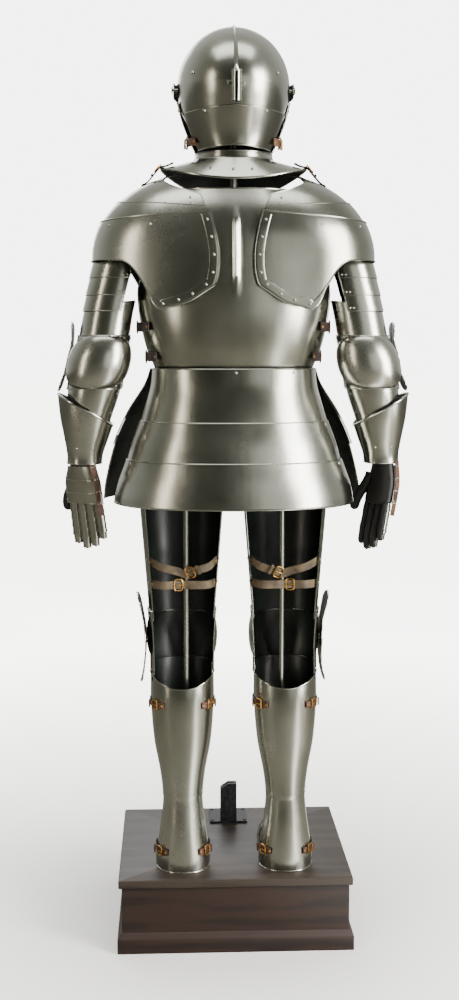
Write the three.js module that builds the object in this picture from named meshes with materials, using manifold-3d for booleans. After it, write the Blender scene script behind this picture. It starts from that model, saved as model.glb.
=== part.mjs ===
// Suit of plate armour standing on a wooden plinth.
// Millimetres, +Z up. The suit faces -Y, so its back faces +Y, and +X is the wearer's left.
import * as THREE from "three";
import { mergeVertices } from "three/addons/utils/BufferGeometryUtils.js";
import Module from "manifold-3d";

const wasm = await Module();
wasm.setup();

// Driving sizes
const PLATE = 1.5;
const LEATHER = 2.0;
const SEAM = 0.35;
const FINE = 0.14;
const DEG = Math.PI / 180;
const SUIT_Y = 80;
const PLINTH = { width: 502, depth: 438, height: 162, top: 18, inset: 7, moulding: 46, base: 508 };
const LEG_X = 112;
const POST = { x: 103, y: 35, radius: 5.5 };

// Finishes
const FINISH = {
  steel: { color: 0x9a9c92, roughness: 0.32, metalness: 1.0 },
  brass: { color: 0xb08a4e, roughness: 0.35, metalness: 1.0 },
  leather: { color: 0x5a4636, roughness: 0.7, metalness: 0.0 },
  glove: { color: 0x171717, roughness: 0.7, metalness: 0.0 },
  iron: { color: 0x2b2b2c, roughness: 0.55, metalness: 0.7 },
  wood: { color: 0x3a2a22, roughness: 0.45, metalness: 0.0 },
};

// Tables: half width a, back depth b, front depth f of the torso at each height
const TORSO = [
  { z: 1215, a: 165, b: 106, f: 116 },
  { z: 1240, a: 167, b: 108, f: 120 },
  { z: 1292, a: 187, b: 121, f: 142 },
  { z: 1361, a: 201, b: 132, f: 156 },
  { z: 1430, a: 204, b: 137, f: 157 },
  { z: 1500, a: 196, b: 134, f: 146 },
  { z: 1560, a: 172, b: 121, f: 124 },
  { z: 1610, a: 130, b: 100, f: 98 },
];
const CULET = [
  { z: 955, a: 250, b: 190 },
  { z: 983, a: 245, b: 187 },
  { z: 1051, a: 223, b: 171 },
  { z: 1135, a: 195, b: 147 },
  { z: 1200, a: 175, b: 125 },
  { z: 1245, a: 171, b: 116 },
];
const FAULD = [
  { z: 950, a: 280, f: 205 },
  { z: 1000, a: 274, f: 203 },
  { z: 1084, a: 252, f: 194 },
  { z: 1150, a: 222, f: 172 },
  { z: 1210, a: 184, f: 138 },
  { z: 1245, a: 171, f: 126 },
];
const LEG = [
  { z: 160, y: 42, a: 58, b: 60, f: 58 },
  { z: 190, y: 42, a: 58, b: 60, f: 56 },
  { z: 250, y: 42, a: 49, b: 54, f: 50 },
  { z: 320, y: 39, a: 42, b: 47, f: 46 },
  { z: 371, y: 33, a: 47, b: 50, f: 49 },
  { z: 440, y: 24, a: 60, b: 58, f: 58 },
  { z: 528, y: 15, a: 67, b: 64, f: 64 },
  { z: 590, y: 8, a: 67, b: 64, f: 66 },
  { z: 650, y: 0, a: 68, b: 66, f: 72 },
  { z: 720, y: -2, a: 72, b: 70, f: 76 },
  { z: 800, y: -4, a: 78, b: 76, f: 80 },
  { z: 939, y: -6, a: 89, b: 84, f: 88 },
  { z: 1000, y: -6, a: 93, b: 86, f: 90 },
];
const ARM = [
  { z: 1040, x: 318, y: 10, a: 32, b: 34, f: 34 },
  { z: 1070, x: 315, y: 12, a: 35, b: 36, f: 36 },
  { z: 1130, x: 308, y: 16, a: 45, b: 44, f: 44 },
  { z: 1195, x: 296, y: 22, a: 55, b: 52, f: 52 },
  { z: 1257, x: 284, y: 24, a: 55, b: 54, f: 52 },
  { z: 1300, x: 275, y: 20, a: 53, b: 53, f: 51 },
  { z: 1366, x: 263, y: 12, a: 52, b: 53, f: 53 },
  { z: 1435, x: 246, y: 6, a: 52, b: 55, f: 55 },
  { z: 1480, x: 234, y: 2, a: 52, b: 56, f: 56 },
];
const CUFF = [
  { z: 1035, x: 319, y: 10, a: 37, b: 37, f: 37 },
  { z: 1060, x: 317, y: 11, a: 38, b: 38, f: 38 },
  { z: 1100, x: 313, y: 14, a: 48, b: 47, f: 47 },
  { z: 1140, x: 310, y: 16, a: 58, b: 56, f: 56 },
  { z: 1195, x: 309, y: 18, a: 64, b: 62, f: 62 },
];
const SABATON = [
  { z: -40, half: 50, high: 80 },
  { z: 0, half: 50, high: 80 },
  { z: 40, half: 51, high: 68 },
  { z: 90, half: 52, high: 54 },
  { z: 135, half: 46, high: 42 },
  { z: 165, half: 34, high: 33 },
  { z: 184, half: 18, high: 20 },
  { z: 193, half: 5, high: 8 },
];
const HELM = [
  { z: 1690, y: 8, a: 74, b: 72, f: 100 },
  { z: 1722, y: 4, a: 90, b: 84, f: 112 },
  { z: 1778, y: 0, a: 110, b: 108, f: 121 },
  { z: 1821, y: 0, a: 117, b: 121, f: 124 },
  { z: 1860, y: 0, a: 117, b: 121, f: 124 },
];
const SKULL = { z: 1821, height: 123, comb: 5 };
const PIVOT = { y: 0, z: 1818, radius: 3 };
const VISOR = { radius: 134, half: 125, roll: 24, arm: 15, snout: 26 };

// Value of one column at a height, on a smooth curve through the rows
function column(rows, key, z) {
  const last = rows.length - 1;
  let i = 0;
  while (i < last - 1 && z > rows[i + 1].z) i += 1;
  const slope = (j) => {
    const low = rows[Math.max(j - 1, 0)];
    const high = rows[Math.min(j + 1, last)];
    return (high[key] - low[key]) / (high.z - low.z);
  };
  const span = rows[i + 1].z - rows[i].z;
  const t = THREE.MathUtils.clamp((z - rows[i].z) / span, 0, 1);
  const t2 = t * t;
  const t3 = t2 * t;
  return (
    (2 * t3 - 3 * t2 + 1) * rows[i][key] +
    (t3 - 2 * t2 + t) * span * slope(i) +
    (3 * t2 - 2 * t3) * rows[i + 1][key] +
    (t3 - t2) * span * slope(i + 1)
  );
}

// Point of a rounded section: angle 0 is +X, 90 degrees is the back
function sectionPoint(rows, power, angle, z, lift) {
  const at = (key, fallback) => (key in rows[0] ? column(rows, key, z) : fallback);
  const c = Math.cos(angle);
  const s = Math.sin(angle);
  const depth = s >= 0 ? at("b", 0) : at("f", 0);
  return new THREE.Vector3(
    at("x", 0) + (at("a", 0) + lift) * Math.sign(c) * Math.abs(c) ** (2 / power),
    at("y", 0) + (depth + lift) * Math.sign(s) * Math.abs(s) ** (2 / power),
    z,
  );
}

const V = (x, y, z) => new THREE.Vector3(x, y, z);
const mix = (a, b, t) => a + (b - a) * t;
const ease = (t) => {
  const k = THREE.MathUtils.clamp(t, 0, 1);
  return k * k * (3 - 2 * k);
};

// Geometry from vertices and faces: equal points are joined, and the faces are turned outwards
function closedGeometry(vertices, faces) {
  const found = new Map();
  const points = [];
  const joinedIndex = vertices.map((p) => {
    const key = [p.x, p.y, p.z].map((value) => Math.round(value * 500)).join(",");
    if (!found.has(key)) {
      found.set(key, points.length);
      points.push(p);
    }
    return found.get(key);
  });
  const kept = faces
    .map((face) => face.map((k) => joinedIndex[k]))
    .filter(([i, j, k]) => i !== j && j !== k && k !== i);
  const volume = kept.reduce((sum, [i, j, k]) => {
    const cross = new THREE.Vector3().crossVectors(points[j], points[k]);
    return sum + points[i].dot(cross);
  }, 0);
  const turned = volume < 0 ? kept.map(([i, j, k]) => [i, k, j]) : kept;
  const geometry = new THREE.BufferGeometry();
  const flat = points.flatMap((p) => [p.x, p.y, p.z]);
  geometry.setAttribute("position", new THREE.Float32BufferAttribute(flat, 3));
  geometry.setIndex(turned.flat());
  return geometry;
}

// Even steps from 0 to 1, with extra values put in between
function steps(count, extra = []) {
  const even = Array.from({ length: count + 1 }, (_, i) => i / count);
  const clear = (t) => extra.every((e) => Math.abs(e - t) > 0.3 / count);
  const spaced = even.filter((t) => t === 0 || t === 1 || clear(t));
  return [...spaced, ...extra].sort((p, q) => p - q);
}

// A thin wall: the outer surface point(u, v), and the same surface moved in by the thickness.
// heart(p) is a point that the outer face looks away from. A round wall closes on itself in u.
// keep(u, v) says whether the cell whose middle is there belongs to the wall.
function shell(point, us, vs, options = {}) {
  const { thickness = PLATE, round = false, heart, keep = () => true } = options;
  const columns = round ? us.length - 1 : us.length;
  const step = 2e-3;
  const outer = [];
  const normals = [];
  let facing = 0;
  for (const v of vs) {
    const middle = THREE.MathUtils.clamp(v, step, 1 - step);
    for (let i = 0; i < columns; i += 1) {
      const u = us[i];
      const low = round ? u - step : Math.max(u - step, 0);
      const high = round ? u + step : Math.min(u + step, 1);
      const du = point(high, middle).sub(point(low, middle));
      const dv = point(u, middle + step).sub(point(u, middle - step));
      const p = point(u, v);
      const normal = du.cross(dv).normalize();
      facing += normal.dot(p.clone().sub(heart(p)).normalize());
      outer.push(p);
      normals.push(normal);
    }
  }
  const side = facing >= 0 ? 1 : -1;
  const inner = outer.map((p, k) => p.clone().addScaledVector(normals[k], -side * thickness));
  for (let j = 0; j < vs.length; j += 1) {
    const first = j * columns;
    const row = outer.slice(first, first + columns);
    const pole = row.every((p) => p.distanceTo(row[0]) < 1e-3);
    for (let i = 1; i < columns && pole; i += 1) inner[first + i].copy(inner[first]);
  }
  const count = outer.length;
  const cells = new Set();
  for (let j = 0; j < vs.length - 1; j += 1) {
    for (let i = 0; i < us.length - 1; i += 1) {
      if (keep((us[i] + us[i + 1]) / 2, (vs[j] + vs[j + 1]) / 2)) cells.add(`${i},${j}`);
    }
  }
  const faces = [];
  const quad = (p, q, r, s) => faces.push([p, q, r], [p, r, s]);
  const index = (i, j) => j * columns + (i % columns);
  const has = (i, j) => {
    const wrapped = round ? (i + columns) % columns : i;
    return cells.has(`${wrapped},${j}`);
  };
  for (const cell of cells) {
    const [i, j] = cell.split(",").map(Number);
    const p = index(i, j);
    const q = index(i + 1, j);
    const r = index(i + 1, j + 1);
    const s = index(i, j + 1);
    quad(p, q, r, s);
    quad(p + count, s + count, r + count, q + count);
    if (!has(i, j - 1)) quad(p, p + count, q + count, q);
    if (!has(i, j + 1)) quad(s, r, r + count, s + count);
    if (!has(i - 1, j)) quad(p, s, s + count, p + count);
    if (!has(i + 1, j)) quad(q, q + count, r + count, r);
  }
  return closedGeometry([...outer, ...inner], faces);
}

// A plate over a table of sections, between two angles in degrees and two edge heights
function plate(rows, spec) {
  const { power = 2.2, lift = 0, side = 1, from, to, top, bottom, us, vs } = spec;
  const value = (given, at) => (typeof given === "function" ? given(at) : given);
  const liftAt = typeof lift === "function" ? lift : () => lift;
  const point = (u, v) => {
    const angle = mix(value(from, v), value(to, v), u);
    const z = mix(value(top, angle), value(bottom, angle), v);
    const p = sectionPoint(rows, power, angle * DEG, z, liftAt(angle, z));
    p.x *= side;
    return p;
  };
  const heart = (p) => {
    const centreX = spec.centreX ?? ("x" in rows[0] ? column(rows, "x", p.z) : 0);
    const centreY = "y" in rows[0] ? column(rows, "y", p.z) : 0;
    return new THREE.Vector3(centreX * side, centreY, p.z);
  };
  return shell(point, us, vs, { ...spec, heart });
}

// Solids for cuts and joins
function solid(geometry) {
  const bare = geometry.index ? geometry.toNonIndexed() : geometry.clone();
  bare.deleteAttribute("normal");
  bare.deleteAttribute("uv");
  const merged = mergeVertices(bare, 1e-4);
  return new wasm.Manifold(
    new wasm.Mesh({
      numProp: 3,
      vertProperties: new Float32Array(merged.attributes.position.array),
      triVerts: new Uint32Array(merged.index.array),
    }),
  );
}

function geometryOf(body) {
  const made = body.getMesh();
  const geometry = new THREE.BufferGeometry();
  const xyz = [];
  for (let i = 0; i < made.vertProperties.length; i += made.numProp) {
    xyz.push(made.vertProperties[i], made.vertProperties[i + 1], made.vertProperties[i + 2]);
  }
  geometry.setAttribute("position", new THREE.Float32BufferAttribute(xyz, 3));
  geometry.setIndex([...made.triVerts]);
  return geometry;
}

const joined = (...parts) => geometryOf(parts.map(solid).reduce((a, b) => a.add(b)));
const cut = (body, ...tools) => geometryOf(tools.map(solid).reduce((a, b) => a.subtract(b), solid(body)));

function box(x0, x1, y0, y1, z0, z1) {
  const geometry = new THREE.BoxGeometry(x1 - x0, y1 - y0, z1 - z0);
  return geometry.translate((x0 + x1) / 2, (y0 + y1) / 2, (z0 + z1) / 2);
}

// A round bar from one point to another
function bar(from, to, radius, sides = 12) {
  const axis = to.clone().sub(from);
  const geometry = new THREE.CylinderGeometry(radius, radius, axis.length(), sides);
  const turn = new THREE.Quaternion().setFromUnitVectors(
    new THREE.Vector3(0, 1, 0),
    axis.clone().normalize(),
  );
  return geometry.applyQuaternion(turn).translate(...from.clone().add(to).multiplyScalar(0.5));
}

// A rivet through an outer plate, ending just short of the named plate under it
function rivet(outer, inner, under, radius = 3) {
  const out = outer.clone().sub(inner).normalize();
  const head = outer.clone().addScaledVector(out, 1);
  const deep = inner.clone().addScaledVector(out, -5);
  const raised = built.get(under).translate(out.clone().multiplyScalar(SEAM).toArray());
  const reach = (body) => {
    const { max, min } = body.boundingBox();
    const middle = V((max[0] + min[0]) / 2, (max[1] + min[1]) / 2, (max[2] + min[2]) / 2);
    return middle.dot(out);
  };
  const pieces = solid(bar(deep, head, radius, 4)).subtract(raised).decompose();
  return geometryOf(pieces.reduce((a, b) => (reach(a) > reach(b) ? a : b)));
}

// A flat strap of a width along a line of points, its flat side facing away from a heart
function strap(points, width, heart, pieces = 10, thickness = LEATHER) {
  const curve = new THREE.CatmullRomCurve3(points);
  const point = (u, v) => {
    const at = THREE.MathUtils.clamp(u, 0, 1);
    const p = curve.getPoint(at);
    const along = curve.getTangent(at);
    const out = p.clone().sub(heart(p));
    out.addScaledVector(along, -out.dot(along)).normalize();
    const across = new THREE.Vector3().crossVectors(along, out).normalize();
    return p.addScaledVector(across, (v - 0.5) * width);
  };
  return shell(point, steps(pieces), [0, 1], { thickness, heart });
}

const root = new THREE.Group();
const suit = new THREE.Group();
suit.position.y = SUIT_Y;
root.add(suit);

const built = new Map();
function add(name, whole, finish, parent = suit) {
  const body = solid(whole).simplify(FINE);
  const geometry = geometryOf(body);
  built.set(name, body);
  const mesh = new THREE.Mesh(geometry, new THREE.MeshStandardMaterial(FINISH[finish]));
  mesh.name = name;
  geometry.computeVertexNormals();
  parent.add(mesh);
}

function replace(name, whole) {
  const body = solid(whole).simplify(FINE);
  const geometry = geometryOf(body);
  built.set(name, body);
  geometry.computeVertexNormals();
  suit.getObjectByName(name).geometry = geometry;
}

const SIDES = [
  { name: "left", side: 1 },
  { name: "right", side: -1 },
];

// Plinth: moulded body and top board
const top = PLINTH.height - PLINTH.top;
const halfW = PLINTH.width / 2;
const halfD = PLINTH.depth / 2;
const halfBase = PLINTH.base / 2;
const grow = halfBase - halfW;
{
  const insideW = halfW - PLINTH.inset;
  const insideD = halfD - PLINTH.inset;
  const body = box(-insideW, insideW, -insideD, insideD, 0, top);
  const foot = box(-halfBase, halfBase, -halfD - grow, halfD + grow, 0, PLINTH.moulding - 12);
  const slope = new THREE.CylinderGeometry(1, 1, 12, 4, 1).rotateX(Math.PI / 2).rotateZ(Math.PI / 4);
  const position = slope.attributes.position;
  for (let i = 0; i < position.count; i += 1) {
    const low = position.getZ(i) < 0;
    const w = low ? halfBase : insideW + 1;
    const d = low ? halfD + grow : insideD + 1;
    const x = Math.sign(Math.round(position.getX(i) * 10)) * w;
    const y = Math.sign(Math.round(position.getY(i) * 10)) * d;
    position.setXYZ(i, x, y, PLINTH.moulding - (low ? 12 : 0));
  }
  add("plinth_body", joined(body, foot, slope), "wood", root);
  add("plinth_top", box(-halfW, halfW, -halfD, halfD, top + 0.3, PLINTH.height), "wood", root);
}

// Iron socket on the plinth between the feet, open at its top
const SOCKET = { x: 2, y: -128, width: 38, depth: 22, height: 95, plate: 4, slotW: 26, slotD: 7 };
{
  const z0 = PLINTH.height + 0.3;
  const base = box(SOCKET.x - 44, SOCKET.x + 44, SOCKET.y - 74, SOCKET.y + 14, z0, z0 + SOCKET.plate);
  const outline = new THREE.Shape();
  const w = SOCKET.width / 2;
  outline.moveTo(-w, 0);
  outline.lineTo(w, 0);
  outline.lineTo(w, SOCKET.height - 12);
  outline.lineTo(w - 18, SOCKET.height);
  outline.lineTo(-w, SOCKET.height);
  outline.closePath();
  const block = new THREE.ExtrudeGeometry(outline, { depth: SOCKET.depth, bevelEnabled: false });
  block.rotateX(Math.PI / 2).translate(SOCKET.x, SOCKET.y + SOCKET.depth / 2, z0);
  const halfSlotW = SOCKET.slotW / 2;
  const halfSlotD = SOCKET.slotD / 2;
  const slot = box(
    SOCKET.x - halfSlotW,
    SOCKET.x + halfSlotW,
    SOCKET.y - halfSlotD,
    SOCKET.y + halfSlotD,
    z0 + 30,
    z0 + 120,
  );
  add("socket_bracket", cut(joined(base, block), slot), "iron", root);
}

// Steel stand inside the suit
{
  const z0 = PLINTH.height + 0.3;
  const hip = 1180;
  const neck = 1560;
  const crown = SKULL.z + SKULL.height - PLATE - 11.4;
  const parts = [];
  for (const { side } of SIDES) {
    const x = side * POST.x;
    parts.push(bar(V(x, POST.y, z0), V(x, POST.y, hip), POST.radius));
    parts.push(bar(V(x, POST.y, z0), V(x, POST.y, z0 + 5), 26, 16));
  }
  parts.push(box(-POST.x - 8, POST.x + 8, POST.y - 6, POST.y + 6, hip - 6, hip + 6));
  parts.push(box(-9, 9, POST.y - 9, POST.y + 9, hip - 6, neck));
  parts.push(box(-165, 165, -9, 9, neck - 6, neck + 6));
  parts.push(box(-9, 9, -9, POST.y + 9, neck - 6, neck + 6));
  parts.push(bar(V(0, 0, neck), V(0, 0, crown), 8));
  parts.push(bar(V(-79.3, 0, 1680), V(79.3, 0, 1680), 3));
  parts.push(bar(V(0, POST.y, 1470), V(0, 135.1, 1470), 6));
  parts.push(bar(V(0, 0, crown - 3), V(0, 0, crown), 42, 16));
  add("steel_stand", joined(...parts), "steel");
}

// Helmet: skull with a low comb, open at the face and at the neck
const NECK = 1696;
const BROW = 0.2;
const skullHeight = (w) =>
  w < 0 ? SKULL.z + (SKULL.z - NECK) * w : SKULL.z + SKULL.height * Math.sin((w * Math.PI) / 2);
function helmPoint(angle, w, lift) {
  const z = skullHeight(w);
  if (w < 0) return sectionPoint(HELM, 2, angle * DEG, z, lift);
  const reach = Math.cos((w * Math.PI) / 2);
  const c = Math.cos(angle * DEG);
  const s = Math.sin(angle * DEG);
  const rise = lift * Math.sin((w * Math.PI) / 2);
  return V((117 + lift) * c * reach, ((s > 0 ? 121 : 124) + lift) * s * reach, z + rise);
}
// Angle at which the skull's side edge runs, from the neck up to the brow
function skullEdge(w) {
  const brow = -40;
  const pivot = -14;
  if (w >= BROW) return brow;
  if (w >= 0) return mix(pivot, brow, w / BROW);
  return mix(pivot, 14, ease(-w * 1.5));
}
const wRange = (v) => mix(-1, 1, v);
{
  const brow = skullEdge(BROW);
  const first = (brow + 90) / 360;
  const ridge = 3 / 360;
  const us = steps(16, [first, 1 - first, 0.5 - ridge, 0.5, 0.5 + ridge, ridge, 1 - ridge]);
  const vs = [-1, -0.75, -0.5, -0.25, 0, BROW, 0.38, 0.6, 0.86, 1].map((w) => (w + 1) / 2);
  const point = (u, v) => {
    const w = wRange(v);
    const scale = w >= BROW ? 1 : (90 - skullEdge(w)) / (90 - brow);
    const away = (u - 0.5) * 360;
    const inside = Math.abs(away) <= 90 - brow + 0.01;
    const angle = 90 + away * (inside ? scale : 1);
    const near = Math.min(Math.abs(away), 180 - Math.abs(away));
    const comb = w > 0.08 ? SKULL.comb * Math.max(0, 1 - near / 2.6) * ease((w - 0.08) / 0.12) : 0;
    return helmPoint(angle, w, w < 1 ? comb : SKULL.comb);
  };
  const keep = (u, v) => wRange(v) > BROW || Math.abs(u - 0.5) * 360 < 90 - brow;
  const heart = () => V(0, 0, SKULL.z);
  const wall = shell(point, us, vs, { round: true, keep, heart });
  const pins = SIDES.flatMap(({ side }) => {
    const at = (x) => V(side * x, PIVOT.y, PIVOT.z);
    const pin = bar(at(115.8), at(VISOR.half + 1.5), PIVOT.radius, 16);
    return [pin, bar(at(VISOR.half + 0.4), at(VISOR.half + 3), 8, 16)];
  });
  add("helmet_skull", joined(wall, ...pins), "steel");
}
const napeRivets = [54, 126].map((angle) => {
  const at = (lift) => sectionPoint(HELM, 2, angle * DEG, 1762, lift);
  return rivet(at(3.3), at(0), "helmet_skull");
});
const nape = plate(HELM, {
  power: 2,
  lift: 3.3,
  from: 18,
  to: 162,
  top: (angle) => 1772 - 8 * Math.abs(Math.cos(angle * DEG)),
  bottom: (angle) => 1699 - 8 * Math.abs(Math.cos(angle * DEG)),
  us: steps(12),
  vs: steps(3),
});
add("helmet_nape", joined(nape, ...napeRivets), "steel");

// Bevor: chin and throat, just outside the skull's side edges
const BEVOR = [
  { z: 1688, y: 6, a: 80, b: 60, f: 98 },
  { z: 1722, y: 4, a: 96, b: 70, f: 112 },
  { z: 1760, y: 2, a: 110, b: 80, f: 124 },
  { z: 1800, y: 0, a: 120, b: 90, f: 127 },
];
const bevorRivets = [6, 174].map((angle) => {
  const outer = sectionPoint(BEVOR, 2, angle * DEG, 1776, 0);
  return rivet(outer, sectionPoint(HELM, 2, angle * DEG, 1776, 0), "helmet_skull");
});
const bevor = plate(BEVOR, {
  power: 2,
  from: -186,
  to: 6,
  top: (angle) => 1786 + 6 * Math.cos(angle * DEG) ** 2,
  bottom: (angle) => 1695 - 3 * Math.cos(angle * DEG) ** 2,
  us: steps(16),
  vs: steps(4),
});
add("helmet_bevor", joined(bevor, ...bevorRivets), "steel");

// Visor: a band about the pivot axis, with a snout and one sight on each side
function visorPoint(u, v) {
  const turn = mix(-98, 98, u) * DEG;
  const across = mix(-1, 1, v);
  const reach = VISOR.radius * Math.cos(turn);
  const roll = across * VISOR.roll * DEG;
  const away = Math.abs(turn / DEG);
  const blend = ease((away - 62) / 14);
  const behind = THREE.MathUtils.clamp((away - 84) / 14, 0, 1);
  const height = VISOR.arm * Math.sqrt(Math.max(1 - behind * behind, 0.02));
  const flatHeight = away > 84 ? height : Math.max(VISOR.arm, reach * Math.sin(VISOR.roll * DEG));
  const forward = mix(reach * Math.cos(roll), reach, blend);
  const up = mix(reach * Math.sin(roll), across * flatHeight, blend);
  const far = Math.min(Math.hypot(forward, up), VISOR.radius);
  const x = Math.sign(turn) * VISOR.half * Math.sqrt(Math.max(1 - (far / VISOR.radius) ** 2, 0));
  const peak = Math.exp(-((x / 52) ** 2)) * Math.exp(-(((across + 0.35) / 0.5) ** 2));
  const grow = 1 + (VISOR.snout * peak) / Math.max(far, 60);
  return V(x, PIVOT.y - forward * grow, PIVOT.z + up * grow);
}
{
  const sight = (x) => (Math.asin(x / VISOR.half) / DEG + 98) / 196;
  const marks = [-66, -14, 14, 66].map(sight);
  const us = steps(14, marks);
  const vs = [0, 0.2, 0.4, 0.58, 0.68, 0.78, 1];
  const open = (u, v) => {
    const inside = (u > marks[0] && u < marks[1]) || (u > marks[2] && u < marks[3]);
    return inside && v > 0.68 && v < 0.78;
  };
  const wall = shell(visorPoint, us, vs, {
    heart: () => V(0, 0, PIVOT.z),
    keep: (u, v) => !open(u, v),
  });
  const hole = bar(V(-200, PIVOT.y, PIVOT.z), V(200, PIVOT.y, PIVOT.z), PIVOT.radius + 0.15, 16);
  add("helmet_visor", cut(wall, hole), "steel");
}
// Plume holder: an open channel on the back of the skull
{
  const point = (u, v) => {
    const angle = mix(-250, 70, u) * DEG;
    return V(9.5 * Math.cos(angle), mix(132, 126.3, v) + 9 * Math.sin(angle), mix(1835, 1776, v));
  };
  const heart = (p) => V(0, mix(126.3, 132, (p.z - 1776) / 59), p.z);
  const channel = shell(point, steps(10), [0, 1], { thickness: 1.2, heart });
  const feet = [1826, 1788].map((z) => {
    const seat = sectionPoint(HELM, 2, Math.PI / 2, z, 0);
    return rivet(V(0, heart({ z }).y - 9.2, z), seat, "helmet_skull");
  });
  add("plume_holder", joined(channel, ...feet), "steel");
}

// Chin straps from the nape to the bevor, riveted at each end
for (const { name, side } of SIDES) {
  const level = 1708;
  const at = (rows, angle, lift) => {
    const p = sectionPoint(rows, 2, angle * DEG, level, lift);
    p.x *= side;
    return p;
  };
  const route = [34, 22, 8, -4, -12].map((angle) => at(BEVOR, angle, 9));
  const heart = (p) => V(0, 6, p.z);
  const ends = [
    rivet(at(BEVOR, 27, 7.8), at(BEVOR, 27, -6), "helmet_nape"),
    rivet(at(BEVOR, -6, 7.8), at(BEVOR, -6, 0), "helmet_bevor"),
  ];
  add(`chin_strap_${name}`, joined(strap(route, 16, heart, 6), ...ends), "leather");
}

// Gorget: a collar that spreads into a wide rim
const GORGET = { ring: 80, ringZ: 1687, rimX: 153, rimBack: 106, rimFront: 118 };
function gorgetPoint(angle, v) {
  const s = Math.sin(angle * DEG);
  const c = Math.cos(angle * DEG);
  const depth = s > 0 ? GORGET.rimBack : GORGET.rimFront;
  const spread = v < 0.25 ? 0.25 * v : 0.0625 + (0.9375 * (v - 0.25)) / 0.75;
  const rimZ = 1657 - (s > 0 ? 29 : 52) * s * s;
  const fall = v < 0.25 ? (v / 0.25) * 14 : 14 + ((v - 0.25) / 0.75) * (GORGET.ringZ - 14 - rimZ);
  const x = mix(GORGET.ring, GORGET.rimX, spread) * c;
  const y = mix(GORGET.ring - 2, depth, spread) * s;
  return V(x, y, GORGET.ringZ - fall);
}
for (const { name, from, to } of [
  { name: "gorget_back", from: 0.13, to: 179.87 },
  { name: "gorget_front", from: 180.13, to: 359.87 },
]) {
  const point = (u, v) => gorgetPoint(mix(from, to, u), v);
  add(name, shell(point, steps(14), [0, 0.25, 0.6, 1], { heart: () => V(0, 0, 1560) }), "steel");
}

// Backplate with a raised central ridge, and breastplate
const armhole = (z) => mix(80, 52, ease((z - 1395) / 90));
const ridgeLift = (angle, z) =>
  4 * Math.max(0, 1 - Math.abs(angle - 90) / 2.2) * (z > 1380 && z < 1575 ? 1 : 0);
const TRUNK = { top: 1598, waist: 1222 };
{
  const middle = [0.5 - 2.2 / 160, 0.5, 0.5 + 2.2 / 160];
  const heightAt = (v) => mix(TRUNK.top, TRUNK.waist, v);
  const rows = [1570, 1576, 1386, 1378, 1240].map((z) => (TRUNK.top - z) / (TRUNK.top - TRUNK.waist));
  add(
    "backplate",
    plate(TORSO, {
      power: 2.35,
      lift: ridgeLift,
      from: (v) => 90 - armhole(heightAt(v)),
      to: (v) => 90 + armhole(heightAt(v)),
      top: TRUNK.top,
      bottom: TRUNK.waist,
      us: steps(10, middle),
      vs: steps(5, rows),
    }),
    "steel",
  );
  add(
    "breastplate",
    plate(TORSO, {
      power: 2.2,
      from: (v) => -90 - armhole(heightAt(v)),
      to: (v) => -90 + armhole(heightAt(v)),
      top: TRUNK.top - 20,
      bottom: TRUNK.waist,
      us: steps(12),
      vs: steps(6, [0.9, 0.95]),
    }),
    "steel",
  );
}

// Side straps across the gap between backplate and breastplate, riveted at each end
for (const { name, side } of SIDES) {
  for (const { level, z } of [
    { level: "upper", z: 1330 },
    { level: "lower", z: 1268 },
  ]) {
    const at = (power, angle, lift) => {
      const p = sectionPoint(TORSO, power, angle * DEG, z, lift);
      p.x *= side;
      return p;
    };
    const route = [30, 20, 10, 0, -10, -20, -28].map((angle) => at(2.35, angle, 7));
    const heart = (p) => V(0, 0, p.z);
    const ends = [
      rivet(at(2.35, 23.33, 6), at(2.35, 23.33, 0), "backplate"),
      rivet(at(2.35, -23.33, 6), at(2.35, -23.33, 0), "breastplate"),
    ];
    add(`side_strap_${level}_${name}`, joined(strap(route, 20, heart, 9), ...ends), "leather");
  }
}

// Culet of three lames: each lower lame lies over the one above it
const LAP = PLATE + 1.3;
for (const { number, high, low } of [
  { number: 1, high: 1243, low: 1124 },
  { number: 2, high: 1134, low: 1041 },
  { number: 3, high: 1053, low: 962 },
]) {
  const lift = number * LAP + 0.6;
  const lame = plate(CULET, {
    power: 2.35,
    lift,
    from: 10,
    to: 170,
    top: high,
    bottom: low,
    us: steps(12),
    vs: steps(2),
  });
  const rivets = [50, 90, 130].map((angle) => {
    const z = high - 7;
    const outer = sectionPoint(CULET, 2.35, angle * DEG, z, lift);
    if (number === 1) return rivet(outer, sectionPoint(TORSO, 2.35, angle * DEG, z, 0), "backplate");
    const inner = sectionPoint(CULET, 2.35, angle * DEG, z, lift - LAP);
    return rivet(outer, inner, `culet_lame_${number - 1}`);
  });
  add(`culet_lame_${number}`, joined(lame, ...rivets), "steel");
}

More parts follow.
